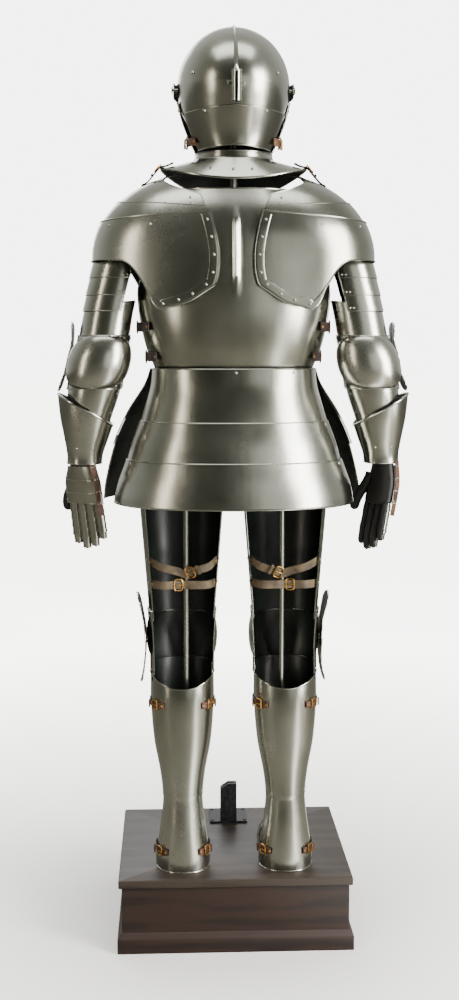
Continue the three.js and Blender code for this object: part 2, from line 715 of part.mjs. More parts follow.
// Fauld in front, and two tassets hung from it
const fauldLift = (angle, z) => 2 * LAP + (z < 1190 ? -1.2 : 0) + (z < 1138 ? -1.2 : 0);
const fauld = plate(FAULD, {
  power: 2.2,
  lift: fauldLift,
  from: -176,
  to: -4,
  top: 1243,
  bottom: 1080,
  us: steps(12),
  vs: [1243, 1216, 1191, 1189, 1139, 1137, 1080].map((z) => (1243 - z) / 163),
});
const fauldRivets = [-130, -50].map((angle) => {
  const outer = sectionPoint(FAULD, 2.2, angle * DEG, 1235, 2 * LAP);
  return rivet(outer, sectionPoint(TORSO, 2.2, angle * DEG, 1235, 0), "breastplate");
});
add("fauld", joined(fauld, ...fauldRivets), "steel");
for (const { name, side } of SIDES) {
  const lift = fauldLift(0, 1090) + LAP + 0.3;
  const tasset = plate(FAULD, {
    power: 2.2,
    lift,
    side,
    from: -87,
    to: -11,
    top: 1096,
    bottom: 960,
    us: steps(8),
    vs: steps(3),
  });
  const rivets = [-75.7, -32.7].map((angle) => {
    const outer = sectionPoint(FAULD, 2.2, angle * DEG, 1090, lift);
    const inner = sectionPoint(FAULD, 2.2, angle * DEG, 1090, lift - LAP - 0.3);
    outer.x *= side;
    inner.x *= side;
    return rivet(outer, inner, "fauld");
  });
  add(`tasset_${name}`, joined(tasset, ...rivets), "steel");
}

// Pauldrons: a rounded shoulder form, with a wing behind and one in front
const SHOULDER = { a: 298, b: 146, f: 172, z: 1470, height: 190, power: 2.6 };
function shoulderPoint(angle, z, lift, side) {
  const rise = Math.max(0, (z - SHOULDER.z) / SHOULDER.height);
  const reach = Math.max(1 - rise * rise, 0) ** (1 / SHOULDER.power);
  const c = Math.cos(angle * DEG);
  const s = Math.sin(angle * DEG);
  const depth = s > 0 ? SHOULDER.b : SHOULDER.f;
  const x = (SHOULDER.a * reach + lift) * Math.abs(c) ** (2 / SHOULDER.power);
  const y = (depth * reach + lift) * Math.sign(s) * Math.abs(s) ** (2 / SHOULDER.power);
  return V(side * x, y, z + lift * rise);
}
// Edge angle of the wings for a distance from the middle plane
function wingAngle(x, z) {
  const rise = Math.max(0, (z - SHOULDER.z) / SHOULDER.height);
  const reach = Math.max(1 - rise * rise, 0.05) ** (1 / SHOULDER.power);
  return Math.acos(Math.min(x / (SHOULDER.a * reach), 1) ** (SHOULDER.power / 2)) / DEG;
}
const WING_EDGE = [
  { z: 1360, x: 78 },
  { z: 1388, x: 62 },
  { z: 1420, x: 42 },
  { z: 1469, x: 36 },
  { z: 1516, x: 42 },
  { z: 1574, x: 58 },
  { z: 1606, x: 74 },
  { z: 1650, x: 118 },
];
const WING_LOW = [
  { z: 0, low: 1466 },
  { z: 0.5, low: 1464 },
  { z: 0.58, low: 1452 },
  { z: 0.68, low: 1410 },
  { z: 0.78, low: 1368 },
  { z: 0.88, low: 1372 },
  { z: 0.95, low: 1384 },
  { z: 1, low: 1412 },
];
const edgeAngle = (z, front) => wingAngle(column(WING_EDGE, "x", z) + (front ? 34 : 0), z);
for (const { name, side } of SIDES) {
  const heart = (p) => V(side * 120, 0, Math.min(p.z, 1470));
  const mainPoint = (u, v) => {
    const turn = mix(1, -1, u);
    const part = Math.abs(turn);
    const zTop = mix(1546, 1562, part * part);
    const zLow = column(WING_LOW, "low", part);
    const z = mix(zTop, zLow, v);
    const angle = turn * edgeAngle(z, turn < 0);
    return shoulderPoint(angle, z, 0, side);
  };
  add(`pauldron_${name}`, shell(mainPoint, steps(14), steps(5), { heart }), "steel");
  const lamePoint = (u, v) => {
    const turn = mix(1, -1, u);
    const part = Math.abs(turn);
    const zTop = mix(1652, 1600, part * part);
    const zLow = mix(1536, 1552, part * part);
    const z = mix(zTop, zLow, v);
    const angle = turn * (edgeAngle(z, turn < 0) - 1);
    return shoulderPoint(angle, z, v > 0.6 ? -LAP : -LAP - 1.4, side);
  };
  add(
    `pauldron_lames_${name}`,
    shell(lamePoint, steps(12), [0, 0.25, 0.59, 0.61, 1], { heart }),
    "steel",
  );
}

// Shoulder straps from the gorget to the top lame of each pauldron
const SHOULDER_STRAP = [
  { x: 132, z: 1667 },
  { x: 146, z: 1663.5 },
  { x: 158, z: 1658 },
  { x: 172, z: 1646 },
  { x: 190, z: 1628 },
];
for (const { name, side } of SIDES) {
  const at = ({ x, z }) => V(side * x, 20, z);
  const route = SHOULDER_STRAP.map(at);
  const heart = () => V(side * 110, 20, 1560);
  const ends = [
    rivet(at({ x: 138, z: 1664.5 }), at({ x: 136.5, z: 1658 }), "gorget_back"),
    rivet(at({ x: 184, z: 1633.5 }), at({ x: 179, z: 1628.5 }), `pauldron_lames_${name}`),
  ];
  add(`shoulder_strap_${name}`, joined(strap(route, 18, heart, 6), ...ends), "leather");
}

// Arms
for (const { name, side } of SIDES) {
  const arm = (rows, angle, z, lift) => {
    const p = sectionPoint(rows, 2.2, angle * DEG, z, lift);
    p.x *= side;
    return p;
  };
  const pins = (rows, z, lift, under, angles) =>
    angles.map((angle) => rivet(arm(rows, angle, z, lift), arm(rows, angle, z, lift - 4), under));
  const cannon = (part, high, low, rows) =>
    add(
      `${part}_${name}`,
      plate(ARM, { side, round: true, from: 0, to: 360, top: high, bottom: low, us: steps(16), vs: rows }),
      "steel",
    );
  cannon("upper_cannon", (angle) => 1378 - 6 * Math.cos(angle * DEG), 1290, steps(2));
  cannon("lower_cannon", 1216, 1066, steps(4));
  const lames = plate(ARM, {
    side,
    lift: (angle, z) => LAP + (z > 1436 ? 2 : z > 1400 ? 1 : 0),
    from: -112,
    to: 118,
    top: 1474,
    bottom: 1363,
    us: steps(10),
    vs: [1474, 1437, 1435, 1401, 1399, 1363].map((z) => (1474 - z) / 111),
  });
  const lamePins = pins(ARM, 1369, LAP - 0.7, `upper_cannon_${name}`, [-67.5, 67.5]);
  add(`upper_arm_lames_${name}`, joined(lames, ...lamePins), "steel");
  const dome = (angle, z) => {
    const away = Math.min(1, Math.hypot((z - 1257) / 56, (angle - 90) / 100));
    return LAP + 16 * Math.sqrt(1 - away * away);
  };
  const couter = plate(ARM, {
    side,
    lift: dome,
    from: -44,
    to: 206,
    top: 1312,
    bottom: 1201,
    us: steps(12),
    vs: steps(6),
  });
  const elbowX = (z) => column(ARM, "x", z) + column(ARM, "a", z);
  const fan = fanPlate(side, elbowX, { z: 1268, reach: 72, y: -8, wide: 46, stand: 12, flare: 9 });
  const boss = bar(V(side * (elbowX(1262) + 2), 22, 1262), V(side * (elbowX(1262) + 11), 22, 1262), 5, 10);
  const couterPins = [
    ...pins(ARM, 1305, LAP - 0.7, `upper_cannon_${name}`, [-22.5, 180]),
    ...pins(ARM, 1207, LAP - 0.7, `lower_cannon_${name}`, [-22.5, 180]),
  ];
  add(`couter_${name}`, joined(couter, fan, boss, ...couterPins), "steel");
  const cuff = plate(CUFF, {
    side,
    round: true,
    from: 0,
    to: 360,
    top: (angle) => 1156 + 34 * Math.cos(angle * DEG),
    bottom: 1042,
    us: steps(16),
    vs: steps(3),
  });
  const cuffPins = pins(CUFF, 1076, -0.7, `lower_cannon_${name}`, [67.5, 247.5]);
  add(`gauntlet_cuff_${name}`, joined(cuff, ...cuffPins), "steel");
}
for (const { name, side } of SIDES) {
  const at = (x, y) => V(side * x, y, 1471);
  const lame = `upper_arm_lames_${name}`;
  const pauldron = geometryOf(built.get(`pauldron_${name}`));
  const pin = rivet(at(296.5, 2), at(284, 2), lame);
  replace(`pauldron_${name}`, joined(pauldron, pin));
}

// A fan plate on the outer side of a joint: two lobes that stand away at their ends
function fanPlate(side, outerX, { z, reach, y, wide, stand, flare }) {
  const point = (u, v) => {
    const t = mix(-1, 1, v);
    const lobe = Math.sqrt(Math.max(1 - t ** 6, 0.03)) * (0.8 + 0.2 * Math.cos(2 * Math.PI * t));
    const across = mix(-1, 1, u) * lobe * wide;
    const height = z + t * reach;
    return V(side * (outerX(height) + stand + flare * t * t), y + across, height);
  };
  return shell(point, steps(4), steps(8), { heart: (p) => V(0, 0, p.z) });
}

// Hands: a hollow leather glove with a steel plate over the back of the hand
const FINGERS = [
  { across: -30, length: 78, radius: 9 },
  { across: -10, length: 96, radius: 9.5 },
  { across: 11, length: 102, radius: 9.5 },
  { across: 31, length: 92, radius: 9.5 },
];
const HAND = { z: 1052, length: 98, wide: 42, thick: 15, curl: 34 };
for (const { name, side, turn } of [
  { name: "left", side: 1, turn: 60 },
  { name: "right", side: -1, turn: -28 },
]) {
  const back = V(Math.cos(turn * DEG), Math.sin(turn * DEG), 0);
  const wide = V(Math.sin(turn * DEG), -Math.cos(turn * DEG), 0);
  const place = (across, out, down) => {
    const bend = HAND.curl * ease(down / 230) * -1;
    const p = V(322, 13, HAND.z - down);
    p.addScaledVector(wide, across).addScaledVector(back, out + bend);
    p.x *= side;
    return p;
  };
  const palm = (grow, start) => {
    const point = (u, v) => {
      const angle = u * 2 * Math.PI;
      const down = mix(start, HAND.length + Math.min(grow, 0), v);
      const open = mix(0.72, 1, ease(v * 1.6));
      const c = Math.cos(angle);
      const s = Math.sin(angle);
      const w = (HAND.wide * open + grow) * Math.sign(c) * Math.abs(c) ** 0.8;
      return place(w, (HAND.thick + grow) * Math.sign(s) * Math.abs(s) ** 0.8, down);
    };
    return closedTube(point, 12, 3);
  };
  const digits = (radiusLess) =>
    FINGERS.map(({ across, length, radius }) => {
      const r = radius - radiusLess;
      const point = (u, v) => {
        const angle = u * 2 * Math.PI;
        const down = mix(HAND.length - 22, HAND.length + length - radiusLess, v);
        const tip = v > 0.9 ? 0.7 : 1;
        const spread = across * (1 + 0.06 * v);
        return place(spread + r * tip * Math.cos(angle), r * tip * Math.sin(angle), down);
      };
      return closedTube(point, 6, 2);
    });
  const thumbRadius = 11;
  const thumb = (less) => {
    const point = (u, v) => {
      const angle = u * 2 * Math.PI;
      const down = mix(34, 118 - less, v);
      const r = (thumbRadius - less) * (v > 0.9 ? 0.6 : 1);
      const across = mix(30, 60, ease(v * 1.2));
      return place(across + r * Math.cos(angle), -8 - 8 * v + r * Math.sin(angle), down);
    };
    return closedTube(point, 6, 3);
  };
  const whole = [palm(0, 2), thumb(0), ...digits(0)].map(solid).reduce((a, b) => a.add(b));
  const hollow = [palm(-1.6, -4), thumb(1.6), ...digits(1.6)].map(solid).reduce((a, b) => a.add(b));
  add(`glove_${name}`, geometryOf(whole.subtract(hollow)), "glove");
  const platePoint = (u, v) => {
    const angle = mix(8, 172, u) * DEG;
    const down = mix(16, HAND.length - 2, v);
    const open = mix(0.72, 1, ease((down / HAND.length) * 1.6));
    const c = Math.cos(angle);
    const s = Math.sin(angle);
    const w = (HAND.wide * open + 3.4) * Math.sign(c) * Math.abs(c) ** 0.8;
    return place(w, (HAND.thick + 3.4) * Math.abs(s) ** 0.8, down);
  };
  const heart = (p) => place(0, -20, HAND.z - p.z);
  const handPins = [36, 84].map((down) => rivet(place(0, 18, down), place(0, 14, down), `glove_${name}`));
  const handPlate = shell(platePoint, steps(10), steps(4), { heart });
  add(`hand_plate_${name}`, joined(handPlate, ...handPins), "steel");
  const wrist = place(0, HAND.thick, 6);
  const cuffPin = rivet(place(0, 36, 6), wrist, `glove_${name}`);
  const cuff = geometryOf(built.get(`gauntlet_cuff_${name}`));
  replace(`gauntlet_cuff_${name}`, joined(cuff, cuffPin));
}

// A closed solid around rings point(u, v), with flat ends
function closedTube(point, around, along) {
  const vertices = [];
  for (let j = 0; j <= along; j += 1) {
    for (let i = 0; i < around; i += 1) vertices.push(point(i / around, j / along));
  }
  const faces = [];
  for (let j = 0; j < along; j += 1) {
    for (let i = 0; i < around; i += 1) {
      const next = (i + 1) % around;
      const p = j * around + i;
      const q = j * around + next;
      faces.push([p, q, q + around], [p, q + around, p + around]);
    }
  }
  for (const j of [0, along]) {
    const ring = vertices.slice(j * around, (j + 1) * around);
    const middle = ring.reduce((sum, p) => sum.add(p), V(0, 0, 0)).multiplyScalar(1 / around);
    vertices.push(middle);
    for (let i = 0; i < around; i += 1) {
      const next = (i + 1) % around;
      const cap = [vertices.length - 1, j * around + next, j * around + i];
      faces.push(j === 0 ? cap : cap.reverse());
    }
  }
  return closedGeometry(vertices, faces);
}

// Legs
const legTable = LEG.map((row) => ({ ...row, x: LEG_X }));
const KNEE = 656;
for (const { name, side } of SIDES) {
  add(
    `cuisse_${name}`,
    plate(legTable, {
      side,
      from: -192,
      to: 30,
      top: (angle) => 985 - 14 * Math.max(0, Math.cos(angle * DEG - 1)),
      bottom: 704,
      us: steps(12),
      vs: steps(4),
    }),
    "steel",
  );
  add(
    `greave_front_${name}`,
    plate(legTable, {
      side,
      from: -178,
      to: -2,
      lift: -0.6,
      top: 602,
      bottom: 241,
      us: steps(10),
      vs: steps(6),
    }),
    "steel",
  );
  const kneeDome = (angle, z) => {
    const away = Math.min(1, Math.hypot((z - KNEE) / 66, (angle + 90) / 95));
    return LAP + 14 * Math.sqrt(1 - away * away);
  };
  const knee = plate(legTable, {
    side,
    lift: kneeDome,
    from: -192,
    to: 30,
    top: 722,
    bottom: 586,
    us: steps(12),
    vs: steps(6),
  });
  const kneeX = (z) => LEG_X + column(LEG, "a", z);
  const fan = fanPlate(side, kneeX, { z: KNEE, reach: 98, y: -20, wide: 52, stand: 11, flare: 11 });
  const boss = bar(V(side * (kneeX(KNEE) + 2), -4, KNEE), V(side * (kneeX(KNEE) + 10.5), -4, KNEE), 6, 10);
  const kneeRivets = [
    { angle: -155, z: 712, under: `cuisse_${name}` },
    { angle: -25.5, z: 712, under: `cuisse_${name}` },
    { angle: -142.8, z: 594, under: `greave_front_${name}` },
    { angle: -37.2, z: 594, under: `greave_front_${name}` },
  ].map(({ angle, z, under }) => {
    const outer = sectionPoint(legTable, 2.2, angle * DEG, z, kneeDome(angle, z));
    const inner = sectionPoint(legTable, 2.2, angle * DEG, z, 0);
    outer.x *= side;
    inner.x *= side;
    return rivet(outer, inner, under);
  });
  add(`poleyn_${name}`, joined(knee, fan, boss, ...kneeRivets), "steel");
  add(
    `greave_back_${name}`,
    plate(legTable, {
      side,
      lift: (angle, z) => (z > 320 ? 1.2 : 0),
      from: 8,
      to: 172,
      top: (angle) => 584 - 24 * Math.sin(angle * DEG) ** 2,
      bottom: PLINTH.height + 0.4,
      us: steps(12),
      vs: [0, 0.2, 0.4, 0.632, 0.638, 0.8, 1],
    }),
    "steel",
  );
  const foot = (t) => column(SABATON, "half", t);
  const sabatonPoint = (u, v) => {
    const y = mix(27, -192, v);
    const angle = u * Math.PI;
    const x = LEG_X + foot(-y) * Math.cos(angle);
    return V(side * x, y, PLINTH.height + 0.4 + column(SABATON, "high", -y) * Math.sin(angle) ** 0.8);
  };
  const heart = (p) => V(side * LEG_X, Math.max(p.y, -150), PLINTH.height);
  add(
    `sabaton_${name}`,
    shell(sabatonPoint, steps(8), [0, 0.25, 0.4, 0.55, 0.7, 0.82, 0.92, 1], { heart }),
    "steel",
  );
  for (const { level, z, sag, from, to } of [
    { level: "upper", z: 832, sag: 26, from: 26, to: 166 },
    { level: "lower", z: 782, sag: 0, from: 26, to: 166 },
  ]) {
    const route = [0, 0.2, 0.4, 0.5, 0.6, 0.8, 1].map((t) => {
      const angle = mix(from, to, t);
      const p = sectionPoint(legTable, 2.2, angle * DEG, z, -2.7 - 26.5 * Math.sin(angle * DEG) ** 6);
      return V(side * p.x, p.y, z - sag * (1 - Math.abs(2 * t - 1)));
    });
    const inside = (p) => V(side * LEG_X, 0, p.z);
    add(`thigh_strap_${level}_${name}`, strap(route, 18, inside, 12), "leather");
  }
}

export default root;
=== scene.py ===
"""Looks of a suit of plate armour on its stand and wooden plinth.

Lengths are in millimetres and turned to metres where a mesh is made. The suit faces -Y, +X is the
wearer's left, and +Z is up. Angles round a body part are in degrees: 0 is outward, 90 is the back.
"""

import logging
import math
from dataclasses import dataclass
from enum import Enum
from typing import Callable, Sequence

import bmesh
import bpy
import numpy as np
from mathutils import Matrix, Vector


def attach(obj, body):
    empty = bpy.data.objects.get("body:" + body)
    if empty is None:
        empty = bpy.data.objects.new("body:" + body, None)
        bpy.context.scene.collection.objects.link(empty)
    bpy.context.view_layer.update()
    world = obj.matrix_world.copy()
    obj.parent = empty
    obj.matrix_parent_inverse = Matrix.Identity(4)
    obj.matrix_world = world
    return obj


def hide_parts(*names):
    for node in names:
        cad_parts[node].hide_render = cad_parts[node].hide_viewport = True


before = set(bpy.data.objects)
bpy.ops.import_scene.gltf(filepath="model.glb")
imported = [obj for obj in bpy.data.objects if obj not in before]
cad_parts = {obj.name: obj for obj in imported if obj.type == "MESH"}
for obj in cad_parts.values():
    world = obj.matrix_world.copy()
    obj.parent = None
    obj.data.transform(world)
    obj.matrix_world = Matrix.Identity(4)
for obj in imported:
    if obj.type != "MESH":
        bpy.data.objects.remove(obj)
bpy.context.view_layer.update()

log = logging.getLogger("armour")

Array = np.ndarray
Grid = int | Array
Surface = Callable[[Array, Array], Array]
Heart = Callable[[Array], Array]
Edge = float | Callable[[Array], Array]
Socket = bpy.types.NodeSocket

MM = 0.001
PLATE = 1.5
LAP = PLATE + 1.3
SUIT_Y = 80.0
LEG_X = 112.0
KNEE_Z = 656.0
PLINTH_TOP = 162.0
WELD = 2e-6
SLIVER = 1e-7
SHARP = 38.0
ROLL_SIDES = 8
BOSS_SIDES = 28
DOME_SIDES = 10
DOME_RINGS = ((1.0, -0.6), (1.0, 0.15), (0.72, 0.72), (0.3, 0.97))
FLOOR_SIDES = 96
FLOOR_RADIUS = 40.0
EDGES = ("top", "bottom", "start", "end")
SIDES = (("left", 1), ("right", -1))
LEVEL = np.array([1.0, 1.0, 0.0])
UPRIGHT = np.array([0.0, 0.0, 1.0])


class Skin(Enum):
    """What a face is made of."""

    STEEL = "steel"
    INSIDE = "inside"
    STRAP = "strap"
    HARNESS = "harness"
    TAN = "tan"
    GLOVE = "glove"
    BRASS = "brass"
    IRON = "iron"
    # Walnut of the plinth in two tones of one wood: darker on the case's sides as painted shade, lighter on
    # the top board as painted sheen.
    WOOD = "wood"
    BOARD = "board"


# Mathematics of surfaces


def mix(a: Array | float, b: Array | float, t: Array | float) -> Array | float:
    """Value between a and b at the share t."""
    return a + (b - a) * t


def ease(t: Array | float) -> Array | float:
    """Smooth step: 3t^2 - 2t^3, with t held between 0 and 1."""
    k = np.clip(t, 0.0, 1.0)
    return k * k * (3 - 2 * k)


def stack(x: Array, y: Array, z: Array) -> Array:
    """Points from three coordinates of any shapes that fit each other."""
    return np.stack(np.broadcast_arrays(x, y, z), axis=-1).astype(float)


def unit(v: Array) -> Array:
    """Vectors of length one, with the same directions."""
    return v / np.maximum(np.linalg.norm(v, axis=-1, keepdims=True), 1e-12)

def cos_sin(degrees: Array | float) -> tuple[Array, Array]:
    """Cosine and sine of an angle in degrees."""
    turn = np.radians(degrees)
    return np.cos(turn), np.sin(turn)


def bent(share: Array, power: float) -> Array:
    """A share raised to a power, with its sign kept."""
    return np.sign(share) * np.abs(share) ** power


def turns(count: int) -> Array:
    """Angles evenly round a circle, in radians."""
    return np.arange(count) * 2 * math.pi / count


def spaced(count: int, *extra: float, near: float = 0.0) -> Array:
    """Steps from 0 to 1.

    Args:
        count: Number of even steps.
        extra: Values that are put in as well.
        near: Even steps closer than this to an extra value are left out.

    Returns:
        The sorted values, with 0 and 1 among them.
    """
    even = np.linspace(0.0, 1.0, count + 1)
    if extra:
        away = np.abs(even[:, None] - np.array(extra)[None, :]).min(axis=1)
        even = even[(away > max(near, 1e-6)) | (even == 0.0) | (even == 1.0)]
    return np.unique(np.concatenate([even, np.array(extra, float)]))


@dataclass(frozen=True)
class Sections:
    """Rounded cross-sections of a body part by height.

    Each row has the height z and any of: centre x and y, half width a, back depth b, front depth f.
    Between rows a value runs on a cubic through the rows.
    """

    names: tuple[str, ...]
    rows: tuple[tuple[float, ...], ...]
    power: float = 2.2

    def column(self, name: str, z: Array | float) -> Array:
        """Values of one column at the heights z, by cubic Hermite steps between the rows.

        Args:
            name: Name of the column.
            z: Heights.

        Returns:
            The column's values.
        """
        z = np.asarray(z, float)
        if name not in self.names:
            return np.zeros_like(z)
        data = np.array(self.rows, float)
        zs = data[:, 0]
        values = data[:, self.names.index(name)]
        last = len(zs) - 1
        low = np.maximum(np.arange(last + 1) - 1, 0)
        high = np.minimum(np.arange(last + 1) + 1, last)
        slopes = (values[high] - values[low]) / (zs[high] - zs[low])
        i = np.clip(np.searchsorted(zs[1:], z, side="left"), 0, last - 1)
        span = zs[i + 1] - zs[i]
        t = np.clip((z - zs[i]) / span, 0.0, 1.0)
        t2 = t * t
        t3 = t2 * t
        return (
            (2 * t3 - 3 * t2 + 1) * values[i]
            + (t3 - 2 * t2 + t) * span * slopes[i]
            + (3 * t2 - 2 * t3) * values[i + 1]
            + (t3 - t2) * span * slopes[i + 1]
        )

    def point(self, angle: Array, z: Array | float, lift: Array | float = 0.0, side: int = 1) -> Array:
        """Points of a superellipse: x = (a + lift) cos^(2/p), y = (depth + lift) sin^(2/p).

        Args:
            angle: Angles in degrees.
            z: Heights.
            lift: Distance moved outward.
            side: 1 for the left side, -1 for the right.

        Returns:
            Points of the outer face.
        """
        c, s = cos_sin(angle)
        depth = np.where(s >= 0, self.column("b", z), self.column("f", z))
        x = self.column("x", z) + (self.column("a", z) + lift) * bent(c, 2 / self.power)
        y = self.column("y", z) + (depth + lift) * bent(s, 2 / self.power)
        return stack(side * x, y, np.asarray(z, float))


TORSO = Sections(
    ("z", "a", "b", "f"),
    (
        (1215, 165, 106, 116),
        (1240, 167, 108, 120),
        (1292, 187, 121, 142),
        (1361, 201, 132, 156),
        (1430, 204, 137, 157),
        (1500, 196, 134, 146),
        (1560, 172, 121, 124),
        (1610, 130, 100, 98),
    ),
    power=2.35,
)
CULET = Sections(
    ("z", "a", "b"),
    (
        (955, 250, 190),
        (983, 245, 187),
        (1051, 223, 171),
        (1135, 195, 147),
        (1200, 175, 125),
        (1245, 171, 116),
    ),
    power=2.35,
)
FAULD = Sections(
    ("z", "a", "f"),
    (
        (950, 280, 205),
        (1000, 274, 203),
        (1084, 252, 194),
        (1150, 222, 172),
        (1210, 184, 138),
        (1245, 171, 126),
    ),
)
LEG = Sections(
    ("z", "x", "y", "a", "b", "f"),
    (
        (160, LEG_X, 42, 58, 60, 58),
        (190, LEG_X, 42, 58, 60, 56),
        (250, LEG_X, 42, 49, 54, 50),
        (320, LEG_X, 39, 42, 47, 46),
        (371, LEG_X, 33, 47, 50, 49),
        (440, LEG_X, 24, 60, 58, 58),
        (528, LEG_X, 15, 67, 64, 64),
        (590, LEG_X, 8, 67, 64, 66),
        (650, LEG_X, 0, 68, 66, 72),
        (720, LEG_X, -2, 72, 70, 76),
        (800, LEG_X, -4, 78, 76, 80),
        (939, LEG_X, -6, 89, 84, 88),
        (1000, LEG_X, -6, 93, 86, 90),
    ),
)
ARM = Sections(
    ("z", "x", "y", "a", "b", "f"),
    (
        (1040, 318, 10, 32, 34, 34),
        (1070, 315, 12, 35, 36, 36),
        (1130, 308, 16, 45, 44, 44),
        (1195, 296, 22, 55, 52, 52),
        (1257, 284, 24, 55, 54, 52),
        (1300, 275, 20, 53, 53, 51),
        (1366, 263, 12, 52, 53, 53),
        (1435, 246, 6, 52, 55, 55),
        (1480, 234, 2, 52, 56, 56),
    ),
)
CUFF = Sections(
    ("z", "x", "y", "a", "b", "f"),
    (
        (1035, 319, 10, 37, 37, 37),
        (1060, 317, 11, 38, 38, 38),
        (1100, 313, 14, 48, 47, 47),
        (1140, 310, 16, 58, 56, 56),
        (1195, 309, 18, 64, 62, 62),
    ),
)
HELM = Sections(
    ("z", "y", "a", "b", "f"),
    (
        (1690, 8, 74, 72, 100),
        (1722, 4, 90, 84, 112),
        (1778, 0, 110, 108, 121),
        (1821, 0, 117, 121, 124),
        (1860, 0, 117, 121, 124),
    ),
    power=2.0,
)
BEVOR = Sections(
    ("z", "y", "a", "b", "f"),
    ((1688, 6, 80, 60, 98), (1722, 4, 96, 70, 112), (1760, 2, 110, 80, 124), (1800, 0, 120, 90, 127)),
    power=2.0,
)
WING_EDGE = Sections(
    ("z", "x"),
    ((1360, 78), (1388, 62), (1420, 42), (1469, 36), (1516, 42), (1574, 58), (1606, 74), (1650, 118)),
)
WING_LOW = Sections(
    ("part", "low"),
    ((0, 1466), (0.5, 1464), (0.58, 1452), (0.68, 1410), (0.78, 1368), (0.88, 1372), (0.95, 1384), (1, 1412)),
)
FOOT = Sections(
    ("t", "half", "high"),
    (
        (-40, 50, 80),
        (0, 50, 80),
        (40, 51, 68),
        (90, 52, 54),
        (135, 46, 42),
        (165, 34, 33),
        (184, 18, 20),
        (193, 5, 8),
    ),
)


# Meshes


@dataclass
class Patch:
    """Part of a mesh: vertices, four-sided faces and the skin of each face."""

    verts: Array
    faces: Array
    skins: Array

    @staticmethod
    def of(verts: Array, faces: Array, skin: Skin) -> "Patch":
        """A patch whose faces all have one skin."""
        return Patch(verts.reshape(-1, 3), faces, np.full(len(faces), skin.value, dtype=object))


def differences(surface: Surface, u: Array, v: Array, closed: bool, step: float = 1.5e-3) -> Array:
    """Unit normals of a surface: cross product of its differences along u and along v.

    Args:
        surface: Point for u and v from 0 to 1.
        u: Values of u, from 0 to 1.
        v: Values of v, from 0 to 1.
        closed: Whether the surface closes on itself along u.
        step: Half the step of the differences.

    Returns:
        Unit normals.
    """
    inner_v = np.clip(v, step, 1 - step)
    low = u - step if closed else np.maximum(u - step, 0.0)
    high = u + step if closed else np.minimum(u + step, 1.0)
    du = surface(high, inner_v) - surface(low, inner_v)
    dv = surface(u, inner_v + step) - surface(u, inner_v - step)
    return unit(np.cross(du, dv))


def shell(
    surface: Surface,
    us: Grid,
    vs: Grid,
    heart: Heart,
    thickness: float = PLATE,
    closed: bool = False,
    keep: Callable[[Array, Array], Array] | None = None,
    skins: tuple[Skin, Skin] = (Skin.STEEL, Skin.INSIDE),
) -> Patch:
    """A thin wall: the surface, the same surface moved in along its normals, and rims between them.

    Args:
        surface: Point of the outer face for u and v from 0 to 1.
        us: Number of even steps along u, or the grid values.
        vs: Number of even steps along v, or the grid values.
        heart: For points of the outer face, the points that it looks away from.
        thickness: Thickness of the wall.
        closed: Whether the wall closes on itself along u.
        keep: Tells from a cell's middle whether it belongs to the wall.
        skins: Skins of the outer face and of the inner face; the rims have the outer one.

    Returns:
        The wall as a closed patch.
    """
    us, vs = (spaced(steps) if isinstance(steps, int) else steps for steps in (us, vs))
    columns = len(us) - 1 if closed else len(us)
    u, v = np.meshgrid(us[:columns], vs)
    outer = surface(u, v)
    normal = differences(surface, u, v, closed)
    facing = np.sum(normal * unit(outer - heart(outer)))
    sign = 1.0 if facing >= 0 else -1.0
    inner = outer - sign * thickness * normal
    poles = np.linalg.norm(outer - outer[:, :1], axis=-1).max(axis=1) < 1e-3
    inner[poles] = inner[poles][:, :1]
    count = outer.shape[0] * columns
    mid_u, mid_v = np.meshgrid((us[:-1] + us[1:]) / 2, (vs[:-1] + vs[1:]) / 2)
    mask = keep(mid_u, mid_v) if keep else np.ones(mid_u.shape, bool)
    j, i = np.nonzero(mask)
    p = j * columns + i
    q = j * columns + (i + 1) % columns
    r = (j + 1) * columns + (i + 1) % columns
    s = (j + 1) * columns + i
    pad = np.pad(mask, ((1, 1), (0, 0)))
    wide = np.pad(mask, ((0, 0), (1, 1)), mode="wrap") if closed else np.pad(mask, ((0, 0), (1, 1)))
    up, down = ~pad[:-2][j, i], ~pad[2:][j, i]
    left, right = ~wide[:, :-2][j, i], ~wide[:, 2:][j, i]
    c = count
    groups = [
        np.stack([p, q, r, s], 1),
        np.stack([p, p + c, q + c, q], 1)[up],
        np.stack([s, r, r + c, s + c], 1)[down],
        np.stack([p, s, s + c, p + c], 1)[left],
        np.stack([q, q + c, r + c, r], 1)[right],
        np.stack([p + c, s + c, r + c, q + c], 1),
    ]
    faces = np.concatenate(groups)
    if sign < 0:
        faces = faces[:, ::-1]
    names = np.full(len(faces), skins[0].value, dtype=object)
    names[len(faces) - len(groups[-1]):] = skins[1].value
    used, packed = np.unique(faces, return_inverse=True)
    verts = np.concatenate([outer.reshape(-1, 3), inner.reshape(-1, 3)])[used]
    return Patch(verts, packed.reshape(faces.shape), names)


def frames(path: Array, up: Array, loop: bool) -> tuple[Array, Array, Array]:
    """Along, out and across directions of a path.

    Args:
        path: Points of the path.
        up: Directions that the out direction leans to, one or one for each point.
        loop: Whether the path closes on itself.

    Returns:
        Three arrays of unit vectors: along the path, out, and across it.
    """
    if loop:
        along = unit(np.roll(path, -1, axis=0) - np.roll(path, 1, axis=0))
    else:
        along = unit(np.gradient(path, axis=0))
    up = np.broadcast_to(up, path.shape)
    out = unit(up - along * np.sum(up * along, axis=1, keepdims=True))
    return along, out, np.cross(along, out)


